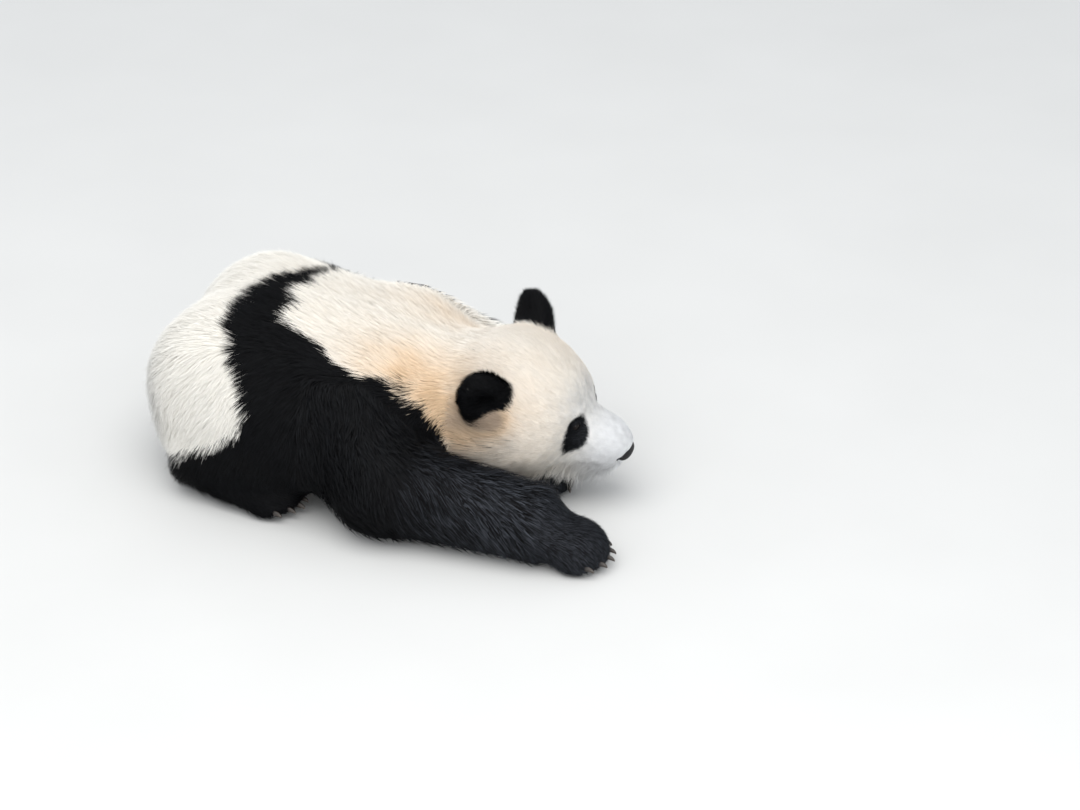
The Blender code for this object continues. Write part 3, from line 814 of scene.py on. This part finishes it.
def corner_normals(faces, places, soft):
    """Each corner's shading normal: the coat's own where a face looks outward, the face's where it looks in."""
    edges = places[faces[:, 1:]] - places[faces[:, :1]]
    flat = unit(np.cross(edges[:, 0], edges[:, 1]))[:, None]
    corner = soft[faces]
    facing = (flat * corner).sum(axis=2, keepdims=True)
    blend = ramp(facing, 0.0, 0.35)
    return unit(flat + (corner - flat) * blend).reshape(-1, 3)


def mesh_from(name, places, faces):
    mesh = bpy.data.meshes.new(name)
    mesh.vertices.add(len(places))
    mesh.vertices.foreach_set("co", places.ravel())
    mesh.loops.add(faces.size)
    mesh.loops.foreach_set("vertex_index", faces.ravel())
    mesh.polygons.add(len(faces))
    mesh.polygons.foreach_set("loop_start", np.arange(0, faces.size, 3))
    mesh.polygons.foreach_set("use_smooth", np.ones(len(faces), dtype=bool))
    mesh.update()
    mesh.validate()
    return mesh


class Skin:
    """The finished skin as triangles, for rooting and laying the coat, with how crowded the coat is on each."""

    def __init__(self, obj, known):
        mesh = obj.data
        mesh.calc_loop_triangles()
        count = len(mesh.loop_triangles)
        self.corners = np.empty(count * 3, dtype=np.int64)
        mesh.loop_triangles.foreach_get("vertices", self.corners)
        self.corners = self.corners.reshape(-1, 3)
        loops = np.empty(count * 3, dtype=np.int64)
        mesh.loop_triangles.foreach_get("loops", loops)
        unwrapped = np.empty(len(mesh.loops) * 2)
        mesh.uv_layers["OFBake"].data.foreach_get("uv", unwrapped)
        self.unwrap = unwrapped.reshape(-1, 2)[loops].reshape(-1, 3, 2)
        self.known = known
        places = known["places"]
        edges = places[self.corners[:, 1:]] - places[self.corners[:, :1]]
        self.area = np.linalg.norm(np.cross(edges[:, 0], edges[:, 1]), axis=1) / 2.0
        self.tree = BVHTree.FromPolygons(places.tolist(), self.corners.tolist())
        self.part = known["part"][self.corners[:, 0]]
        under = ramp(self.mean("places")[:, 2], 0.045, 0.020) * ramp(-self.mean("normals")[:, 2], 0.3, 0.7)
        cover = COAT_LAYERS / (self.mean("width") * self.mean("length"))
        self.crowd = cover * self.area * (1.0 - 0.8 * under)

    def mean(self, name):
        return self.known[name][self.corners].mean(axis=1)

    def at(self, name, face, shares):
        values = self.known[name][self.corners[face]]
        shape = shares.reshape(shares.shape + (1,) * (values.ndim - 2))
        return (values * shape).sum(axis=1)

    def nearest(self, points):
        """The nearest places on the skin, their smooth normals and the coat's lie there."""
        places = np.empty_like(points)
        faces = np.empty(len(points), dtype=np.int64)
        for number, point in enumerate(points.tolist()):
            place, _, face, _ = self.tree.find_nearest(point)
            places[number] = place
            faces[number] = face
        corner = self.known["places"][self.corners[faces]]
        weight = 1.0 / np.maximum(np.linalg.norm(corner - places[:, None], axis=2), 1e-5)
        weight /= weight.sum(axis=1, keepdims=True)
        return places, unit(self.at("normals", faces, weight)), unit(self.at("flow", faces, weight))


def hair_free(points):
    """True where no hair grows: on the lids' rims and under the nose pad."""
    bare = np.zeros(len(points), dtype=bool)
    for eye in EYES.values():
        bare |= np.linalg.norm(points - eye["centre"], axis=1) < LID_SHELL + 0.0002
    local = to_head(points)
    pad = np.linalg.norm((local - NOSE_PAD_AT) @ NOSE_PAD_LEAN / NOSE_PAD_SIZE, axis=1)
    return bare | (pad < 1.02)


def sow(skin, chosen, count):
    """Roots, evenly strewn over the chosen triangles by how crowded the coat is there."""
    weight = np.where(chosen, skin.crowd, 0.0)
    total = np.cumsum(weight)
    picks = (np.arange(count) + random.random(count)) / count * total[-1]
    face = np.minimum(np.searchsorted(total, picks), len(total) - 1)
    first, second = random.random(count), random.random(count)
    flip = first + second > 1.0
    first[flip], second[flip] = 1.0 - first[flip], 1.0 - second[flip]
    shares = np.stack([1.0 - first - second, first, second], axis=1)
    return face, shares


def find_leaders(root):
    """For each lock, the one whose tip its tuft gathers to."""
    count = len(root)
    leaders = random.permutation(count)[: max(count // LOCKS_IN_TUFT, 4)]
    index = KDTree(len(leaders))
    for number, leader in enumerate(leaders.tolist()):
        index.insert(root[leader], number)
    index.balance()
    return leaders[[index.find(point)[1] for point in root.tolist()]]


def lay_locks(skin, locks, segments):
    """The middle of each ring of each lock, from under the skin to the tip, and the skin's normals there."""
    root, flow, length, own = locks["root"], locks["flow"], locks["length"], locks["leader"]
    turn = locks["turn"][:, None]
    rings, normals = [root - locks["normal"] * ROOT_DEPTH], [locks["normal"]]
    place, heading = root, flow
    for step in range(1, segments + 1):
        share = step / segments
        ahead = place + heading * (length / segments)[:, None]
        target = root[own] + flow[own] * (length[own] * share)[:, None]
        ahead = ahead + (target - ahead) * (locks["gather"] * share * 0.8)[:, None]
        place, here, lie = skin.nearest(ahead)
        heading = unit(lie * np.cos(turn) + np.cross(here, lie) * np.sin(turn) + heading * 0.6)
        height = locks["height"] * (1.0 - (1.0 - share) ** 1.8)
        drop = np.where(locks["stray"], 1.0, 1.0 - 0.12 * share)
        rings.append(place + here * (height * drop)[:, None])
        normals.append(here)
    return rings, normals


def lock_points(rings, normals, width, tilt):
    """Each lock's points, their shading normals and how far along the lock they are."""
    segments = len(rings) - 1
    places = np.zeros((len(width), segments * 3 + 1, 3))
    soft = np.zeros_like(places)
    along = np.zeros(places.shape[:2])
    for ring in range(segments):
        ahead = unit(rings[ring + 1] - rings[ring])
        side = unit(np.cross(normals[ring], ahead))
        thick = width * (0.75 if ring == 0 else 1.0 - 0.35 * (ring - 1) / max(segments - 1, 1))
        top = np.cross(ahead, side)
        for corner, (over, up) in enumerate(LOCK_RIDGES):
            spot = ring * 3 + corner
            places[:, spot] = rings[ring] + (side * over + top * up) * thick[:, None]
            soft[:, spot] = normals[ring] + side * over * 0.5 + tilt
            along[:, spot] = ring / segments
    places[:, -1] = rings[-1]
    soft[:, -1] = normals[-1] + tilt
    along[:, -1] = 1.0
    return places, soft, along


def keep_above_floor(places):
    """Lifts the points of locks that would go through the floor to a little over it."""
    floor = 0.0008 + 0.0012 * random.random(len(places))[:, None]
    lifted = floor + 0.00006 * np.arange(places.shape[1])[None]
    places[:, :, 2] = np.where(places[:, :, 2] < floor, lifted, places[:, :, 2])


def on_atlas(at, patch):
    """Each corner's place on the coat's map: its own small patch, at its root's place on the skin's unwrap."""
    low, high = at.min(axis=0), at.max(axis=0)
    at = ATLAS_EDGE + (at - low) / (high - low) * (1.0 - ATLAS_EDGE - TUFT_PATCH - ATLAS_EDGE)
    return (at[:, None] + patch[None] * TUFT_PATCH).reshape(-1, 2)


def grow(skin, name, chosen, count, segments, gather, lift, stray):
    """One piece of the coat: closed locks that lie along the skin, gathered a little into tufts."""
    face, shares = sow(skin, chosen, count)
    root = skin.at("places", face, shares)
    keep = ~hair_free(root)
    face, shares, root = face[keep], shares[keep], root[keep]
    count = len(root)
    normal = unit(skin.at("normals", face, shares))
    flow = unit(skin.at("flow", face, shares))
    length = skin.at("length", face, shares) * random.uniform(*LENGTH_SPREAD, count)
    width = skin.at("width", face, shares) * random.uniform(*WIDTH_SPREAD, count)
    turn = 0.22 * ripple(root, 0.09, 7) + 0.13 * ripple(root, 0.022, 8) + random.normal(0.0, 0.11, count)
    flow = flow * np.cos(turn)[:, None] + np.cross(normal, flow) * np.sin(turn)[:, None]
    leader = find_leaders(root)
    gather = gather * (0.6 + 0.8 * random.random(count))
    fluff = skin.at("fluff", face, shares)
    straying = random.random(count) < stray + 0.30 * fluff
    rise = lift * (0.62 + 0.42 * random.random(count)) + 0.12 * ripple(root, 0.03, 9)
    rise = np.clip(np.where(straying, rise + 0.45, rise), *RISE_LIMITS)
    height = rise * skin.at("depth", face, shares) * (1.0 + fluff * (0.3 + 2.4 * random.random(count) ** 3))
    rings, normals = lay_locks(skin, {
        "root": root, "normal": normal, "flow": flow, "length": length, "leader": leader,
        "turn": turn, "gather": gather, "height": height, "stray": straying,
    }, segments)
    tilt = np.stack([ripple(root, 0.010, seed) for seed in (21, 22, 23)], axis=1) * 0.12
    tilt += random.normal(0.0, 0.12, (count, 3))
    places, soft, along = lock_points(rings, normals, width, tilt)
    keep_above_floor(places)

    pattern, patch = lock_template(segments)
    corners = places.shape[1]
    shape = places[:, pattern]
    volume = (shape[:, :, 0] * np.cross(shape[:, :, 1], shape[:, :, 2])).sum(axis=(1, 2))
    every = (places, soft, along, face, shares, root, flow, length)
    places, soft, along, face, shares, root, flow, length = [values[volume > 0.0] for values in every]
    count = len(root)
    places, soft = places.reshape(-1, 3), soft.reshape(-1, 3)
    faces = (pattern[None] + (np.arange(count) * corners)[:, None, None]).reshape(-1, 3)
    mesh = mesh_from(name, places, faces)
    unwrapped = on_atlas((skin.unwrap[face] * shares[:, :, None]).sum(axis=1), patch)
    mesh.uv_layers.new(name="OFBake").data.foreach_set("uv", unwrapped.ravel())
    dark, *tints = markings(root + flow * (length * 0.55)[:, None], skin.part[face])
    dark = dark + random.normal(0.0, 0.13, count) * length
    marks = [np.repeat(mark, corners) for mark in (dark, *tints)]
    store_marks(mesh, marks, along.ravel(), np.repeat(random.random(count), corners))
    mesh.normals_split_custom_set(corner_normals(faces, places, unit(soft)))
    mesh.materials.append(COAT_MATERIAL)
    return finish_piece(new_object(name, mesh))


def finish_piece(obj):
    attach(obj, "root")
    return obj


# ---------------------------------------------------------------- materials


class Nodes:
    """Short calls for wiring a node tree."""

    def __init__(self, tree):
        self.tree = tree

    def add(self, kind, **settings):
        node = self.tree.nodes.new(kind)
        for key, value in settings.items():
            setattr(node, key, value)
        return node

    def link(self, source, target):
        self.tree.links.new(source, target)

    def attribute(self, name):
        return self.add("ShaderNodeAttribute", attribute_name=name).outputs["Fac"]

    def math(self, operation, first, second=None, clamp=False):
        node = self.add("ShaderNodeMath", operation=operation, use_clamp=clamp)
        for socket, value in zip(node.inputs, (first, second)):
            if value is None:
                continue
            if isinstance(value, (int, float)):
                socket.default_value = value
            else:
                self.link(value, socket)
        return node.outputs[0]

    def spread(self, value, low, high, to_low, to_high):
        node = self.add("ShaderNodeMapRange", interpolation_type="SMOOTHSTEP")
        self.link(value, node.inputs["Value"])
        for key, number in (("From Min", low), ("From Max", high), ("To Min", to_low), ("To Max", to_high)):
            node.inputs[key].default_value = number
        return node.outputs["Result"]

    def mix(self, share, first, second, blend="MIX"):
        node = self.add("ShaderNodeMix", data_type="RGBA", blend_type=blend)
        for socket, value in ((node.inputs[0], share), (node.inputs[6], first), (node.inputs[7], second)):
            if isinstance(value, (int, float)):
                socket.default_value = value
            elif isinstance(value, tuple):
                socket.default_value = (*value, 1.0)
            else:
                self.link(value, socket)
        return node.outputs[2]

    def noise(self, scale, detail=3.0, stretch=None):
        coordinates = self.add("ShaderNodeTexCoord").outputs["Object"]
        if stretch:
            mapping = self.add("ShaderNodeMapping")
            mapping.inputs["Scale"].default_value = stretch
            self.link(coordinates, mapping.inputs["Vector"])
            coordinates = mapping.outputs["Vector"]
        node = self.add("ShaderNodeTexNoise")
        node.inputs["Scale"].default_value = scale
        node.inputs["Detail"].default_value = detail
        self.link(coordinates, node.inputs["Vector"])
        return node.outputs["Fac"]

    def relief(self, shader, height, distance, strength=1.0):
        node = self.add("ShaderNodeBump")
        node.inputs["Strength"].default_value = strength
        node.inputs["Distance"].default_value = distance
        self.link(height, node.inputs["Height"])
        self.link(node.outputs["Normal"], shader.inputs["Normal"])


def coat_colour_group():
    """Colour and roughness of skin and coat, from the markings each of their points carries, with painted shade
    toward each lock's root, painted brown shade where the warm share runs high, and painted sheen on the forearms'
    black.
    """
    tree = bpy.data.node_groups.new("coat colour", "ShaderNodeTree")
    tree.interface.new_socket("Color", in_out="OUTPUT", socket_type="NodeSocketColor")
    tree.interface.new_socket("Roughness", in_out="OUTPUT", socket_type="NodeSocketFloat")
    nodes = Nodes(tree)
    names = ("along", "lot", "cool_and_sheen", "warm_and_shade", "grey")
    along, lot, cool_and_sheen, warm_and_shade, grey = [nodes.attribute(name) for name in names]
    # Painted shade: each white lock darkens toward its root
    pale = nodes.mix(along, WHITE_ROOT_SHADE, WHITE)
    pale = nodes.mix(cool_and_sheen, pale, COOL_WHITE)
    pale = nodes.mix(nodes.math("MULTIPLY", warm_and_shade, 0.95, clamp=True), pale, APRICOT)
    # Painted shade: warm shares past 0.75 darken toward the shade brown
    pale = nodes.mix(nodes.spread(warm_and_shade, 0.75, 1.9, 0.0, 0.85), pale, SHADE_BROWN)
    pale = nodes.mix(nodes.math("MULTIPLY", grey, 0.75, clamp=True), pale, ASH)
    # Painted sheen: toward the tips of some locks the forearms' black turns pale blue-grey
    glint = nodes.math("MULTIPLY", nodes.math("MULTIPLY", along, nodes.math("POWER", lot, 2.0)), cool_and_sheen)
    # Painted shade: the black darkens toward each lock's root, by a random share per lock
    black = nodes.mix(nodes.math("MULTIPLY", along, lot), BLACK_ROOT_SHADE, BLACK_TIP)
    black = nodes.mix(glint, black, BLACK_SHEEN)
    dark = nodes.spread(nodes.attribute("dark"), -0.0015, 0.0025, 0.0, 1.0)
    tone = nodes.add("ShaderNodeHueSaturation")
    nodes.link(nodes.mix(dark, pale, black), tone.inputs["Color"])
    nodes.link(nodes.spread(lot, 0.0, 1.0, 0.90, 1.05), tone.inputs["Value"])
    out = nodes.add("NodeGroupOutput")
    nodes.link(tone.outputs["Color"], out.inputs["Color"])
    nodes.link(nodes.spread(dark, 0.0, 1.0, 0.85, 0.55), out.inputs["Roughness"])
    return tree


def new_material(name):
    material = bpy.data.materials.new(name)
    material.use_nodes = True
    nodes = Nodes(material.node_tree)
    return material, nodes, material.node_tree.nodes["Principled BSDF"]


def coat_material(name, group, bump):
    material, nodes, shader = new_material(name)
    coat = nodes.add("ShaderNodeGroup", node_tree=group)
    nodes.link(coat.outputs["Color"], shader.inputs["Base Color"])
    nodes.link(coat.outputs["Roughness"], shader.inputs["Roughness"])
    shader.inputs["Specular IOR Level"].default_value = 0.06
    if bump:
        nodes.relief(shader, nodes.noise(420.0, 2.0, (0.35, 1.0, 1.0)), bump, 0.6)
    return material


def nose_material():
    material, nodes, shader = new_material("nose skin")
    nodes.link(nodes.mix(nodes.noise(60.0, 2.0), *NOSE_SKIN), shader.inputs["Base Color"])
    nodes.link(nodes.spread(nodes.noise(900.0, 2.0), 0.3, 0.7, 0.42, 0.60), shader.inputs["Roughness"])
    shader.inputs["Specular IOR Level"].default_value = 0.25
    cells = nodes.add("ShaderNodeTexVoronoi")
    cells.inputs["Scale"].default_value = 780.0
    nodes.link(nodes.add("ShaderNodeTexCoord").outputs["Object"], cells.inputs["Vector"])
    nodes.relief(shader, cells.outputs["Distance"], 0.0006)
    return material


def eye_material():
    """Pupil, iris and the eye's dark rim, by the angle off its gaze."""
    material, nodes, shader = new_material("eye")
    angle = nodes.attribute("off_gaze")
    iris = nodes.mix(nodes.noise(700.0, 3.0), *IRIS)
    ringed = nodes.mix(nodes.spread(angle, 0.17, 0.20, 0.0, 1.0), PUPIL, iris)
    rim = nodes.mix(nodes.noise(300.0, 2.0), *EYE_RIM)
    nodes.link(nodes.mix(nodes.spread(angle, 0.44, 0.52, 0.0, 1.0), ringed, rim), shader.inputs["Base Color"])
    shader.inputs["Roughness"].default_value = 0.05
    shader.inputs["Specular IOR Level"].default_value = 0.20
    return material


def claw_material():
    material, nodes, shader = new_material("claw horn")
    streak = nodes.noise(260.0, 3.0, (0.3, 2.0, 1.0))
    base = nodes.mix(nodes.attribute("along"), *HORN)
    nodes.link(nodes.mix(nodes.math("MULTIPLY", streak, 0.6), base, HORN_STREAK), shader.inputs["Base Color"])
    nodes.link(nodes.spread(streak, 0.3, 0.7, 0.30, 0.48), shader.inputs["Roughness"])
    nodes.relief(shader, streak, 0.0003)
    return material


# ---------------------------------------------------------------- eyes, nose and claws


def finish_solid(obj, material, node):
    """A smooth finished piece that takes a node's place."""
    obj.data.materials.append(material)
    take(obj)
    bpy.ops.object.shade_smooth()
    finish_piece(obj)
    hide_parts(node)


def add_eye(side, material):
    """A glossy eyeball with a slight bulge over the iris."""
    word, eye = SIDES[side], EYES[side]
    deselect()
    bpy.ops.mesh.primitive_uv_sphere_add(segments=48, ring_count=32, radius=EYE_RADIUS)
    obj = bpy.context.active_object
    obj.name = word + "_eyeball"
    places = vertex_places(obj.data)
    angle = np.arccos(np.clip(places[:, 2] / EYE_RADIUS, -1.0, 1.0))
    places *= (1.0 + CORNEA_BULGE * ramp(angle, 0.55, 0.15))[:, None]
    basis = np.stack(eye_axes(eye), axis=1)
    move_vertices(obj.data, places @ basis.T + eye["centre"])
    store(obj.data, "off_gaze", angle)
    finish_solid(obj, material, word + "_eye")


def add_nose(material):
    """The bare nose pad, wide above and narrow below, with two comma-shaped nostrils."""
    deselect()
    bpy.ops.mesh.primitive_ico_sphere_add(subdivisions=6, radius=1.0)
    obj = bpy.context.active_object
    obj.name = "nose_pad"
    ball = vertex_places(obj.data)
    side, up, front = ball[:, 1], ball[:, 2], ball[:, 0] > 0.0
    shape = np.sign(ball) * np.abs(ball) ** np.array((0.90, 0.88, 0.84))
    shape[:, 1] *= 1.0 - 0.30 * ramp(up, 0.35, -0.95)
    shape[:, 0] += 0.12 * up - 0.10 * up * up
    for depth, (out, low), (wide, high) in NOSTRIL:
        hollow = np.exp(-(((np.abs(side) - out) / wide) ** 2 + ((up - low) / high) ** 2))
        shape[:, 0] -= depth * hollow * front * (side != 0.0)
    shape[:, 0] -= 0.10 * np.exp(-((side / 0.07) ** 2)) * ramp(up, 0.25, -0.10) * front
    local = NOSE_PAD_AT + (shape * NOSE_PAD_SIZE) @ NOSE_PAD_LEAN.T
    move_vertices(obj.data, from_head(local))
    finish_solid(obj, material, "nose")


def claw_curve(node, foot):
    """Start, bend and tip of a claw, from the solid it replaces."""
    places = vertex_places(NODES[node].data)
    away = np.linalg.norm((places - middle_of(foot))[:, :2], axis=1)
    tip = places[np.argmax(away)]
    root = places[away < away.min() + 0.004].mean(axis=0)
    flat = unit((tip - root) * (1.0, 1.0, 0.0))
    return root - flat * CLAW_IN_TOE + (0.0, 0.0, 0.0010), (root + tip) / 2.0 + (0.0, 0.0, CLAW_BEND), tip


def add_claw(node, foot, material):
    """A smooth curved claw from its root in the toe to its point."""
    start, bend, tip = claw_curve(node, foot)
    points, steps = [], []
    for ring in range(CLAW_RINGS):
        share = ring / CLAW_RINGS
        middle = (1 - share) ** 2 * start + 2 * share * (1 - share) * bend + share**2 * tip
        ahead = unit(2 * (1 - share) * (bend - start) + 2 * share * (tip - bend))
        side = unit(np.cross((0.0, 0.0, 1.0), ahead))
        up = np.cross(ahead, side)
        radius = CLAW_RADIUS * (1.0 - share**1.6) ** 0.75 + 0.0002
        for corner in range(CLAW_SIDES):
            turn = math.tau * corner / CLAW_SIDES
            points.append(middle + side * math.cos(turn) * radius * 0.72 + up * math.sin(turn) * radius)
            steps.append(share)
    points.append(tip)
    steps.append(1.0)
    faces = [tuple(reversed(range(CLAW_SIDES)))]
    round_claw = [(corner, (corner + 1) % CLAW_SIDES) for corner in range(CLAW_SIDES)]
    for base in range(0, (CLAW_RINGS - 1) * CLAW_SIDES, CLAW_SIDES):
        above = base + CLAW_SIDES
        faces += [(base + here, base + following, above + following, above + here) for here, following in round_claw]
    last = (CLAW_RINGS - 1) * CLAW_SIDES
    faces += [(last + here, last + following, len(points) - 1) for here, following in round_claw]
    mesh = bpy.data.meshes.new(node + "_horn")
    mesh.from_pydata([tuple(point) for point in points], [], faces)
    store(mesh, "along", steps)
    finish_solid(new_object(node + "_horn", mesh), material, node)


# ---------------------------------------------------------------- building it


def unwrap(obj):
    """Unwraps a piece by its own shape onto its OFBake map."""
    take(obj)
    bpy.ops.object.mode_set(mode="EDIT")
    bpy.ops.mesh.select_all(action="SELECT")
    bpy.ops.uv.smart_project(angle_limit=math.radians(66.0), island_margin=0.001)
    bpy.ops.object.mode_set(mode="OBJECT")
    obj.data.uv_layers[0].name = "OFBake"


def mark_skin(mesh, known):
    """The skin's own markings, which are the coat's, with dark rims on the lids."""
    dark, *tints = markings(known["places"], known["part"])
    dark = np.maximum(dark, known["bare"] * 0.01 - 0.004 * (known["bare"] < 0.4))
    count = len(dark)
    store_marks(mesh, (dark, *tints), np.full(count, 0.3), np.full(count, 0.5))


def coat_plans(skin):
    """Each piece of coat: its name, its triangles of the skin, and how its locks are made."""
    middle = skin.mean("places")
    left = middle[:, 1] > 0.0
    on_face = (skin.part == "head") & (to_head(middle)[:, 0] > FACE_FROM)
    plans = [(name, np.isin(skin.part, parts) & ~on_face, *locks) for name, (parts, *locks) in COAT_PIECES.items()]
    plans.append(("coat_right_face", on_face & ~left, *FACE_COAT))
    plans.append(("coat_left_face", on_face & left, *FACE_COAT))
    return plans


def add_coat(skin):
    """Grows every piece of coat, sharing out the triangles by how much coat each needs."""
    plans = coat_plans(skin)
    costs = [skin.crowd[chosen].sum() * lock_triangles(segments) for _, chosen, segments, *_ in plans]
    scale = min(1.0, COAT_TRIANGLES / sum(costs))
    for (name, chosen, segments, *locks), cost in zip(plans, costs):
        count = int(min(cost * scale, PIECE_TRIANGLES) / lock_triangles(segments))
        grow(skin, name, chosen, count, segments, *locks)


skin_object, known = build_skin(*solids_lookup())
unwrap(skin_object)
GROUP = coat_colour_group()
COAT_MATERIAL = coat_material("coat", GROUP, 0.0)
SKIN_MATERIAL = coat_material("skin under the coat", GROUP, 0.0008)
skin_object.data.materials.append(SKIN_MATERIAL)
mark_skin(skin_object.data, known)
finish_piece(skin_object)
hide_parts(*FLESH)
add_coat(Skin(skin_object, known))

eye_finish = eye_material()
for side in SIDES:
    add_eye(side, eye_finish)
add_nose(nose_material())
horn = claw_material()
for word in SIDES.values():
    for limb, foot in (("fore", "forepaw"), ("hind", "hind_foot")):
        for number in range(1, 6):
            add_claw(f"{word}_{limb}_claw_{number}", word + "_" + foot, horn)


# ---------------------------------------------------------------- floor, light and camera


def hang_lamp(name, width, depth, power, colour, place):
    """A soft rectangular lamp hung there and aimed at the animal."""
    lamp = bpy.data.lights.new(name, "AREA")
    lamp.shape = "RECTANGLE"
    lamp.size, lamp.size_y = width, depth
    lamp.energy = power
    lamp.color = colour
    holder = new_object(name, lamp)
    holder.location = place
    holder.rotation_euler = (LAMP_AIM - holder.location).to_track_quat("-Z", "Y").to_euler()


def add_stage():
    deselect()
    bpy.ops.mesh.primitive_plane_add(size=40.0, location=(0.0, 0.0, 0.0))
    floor = bpy.context.active_object
    floor.name = "floor"
    material, nodes, shader = new_material("pale floor")
    nodes.link(nodes.mix(nodes.noise(3.0, 2.0), *FLOOR), shader.inputs["Base Color"])
    shader.inputs["Roughness"].default_value = 0.9
    floor.data.materials.append(material)
    world = bpy.data.worlds.new("studio")
    bpy.context.scene.world = world
    world.use_nodes = True
    background = world.node_tree.nodes["Background"]
    background.inputs["Color"].default_value = DAYLIGHT
    background.inputs["Strength"].default_value = DAYLIGHT_STRENGTH
    for lamp in LAMPS:
        hang_lamp(*lamp)


def add_camera():
    level = math.cos(CAMERA_ELEVATION)
    back = Vector((math.sin(CAMERA_AZIMUTH) * level, -math.cos(CAMERA_AZIMUTH) * level, math.sin(CAMERA_ELEVATION)))
    data = bpy.data.cameras.new("camera")
    data.lens = CAMERA_LENS
    data.sensor_width = 36.0
    camera = new_object("camera", data)
    camera.location = CAMERA_AIM + back * CAMERA_DISTANCE
    camera.rotation_euler = (-back).to_track_quat("-Z", "Y").to_euler()
    bpy.context.scene.camera = camera


add_stage()
add_camera()
bpy.context.scene.view_settings.view_transform = "Standard"
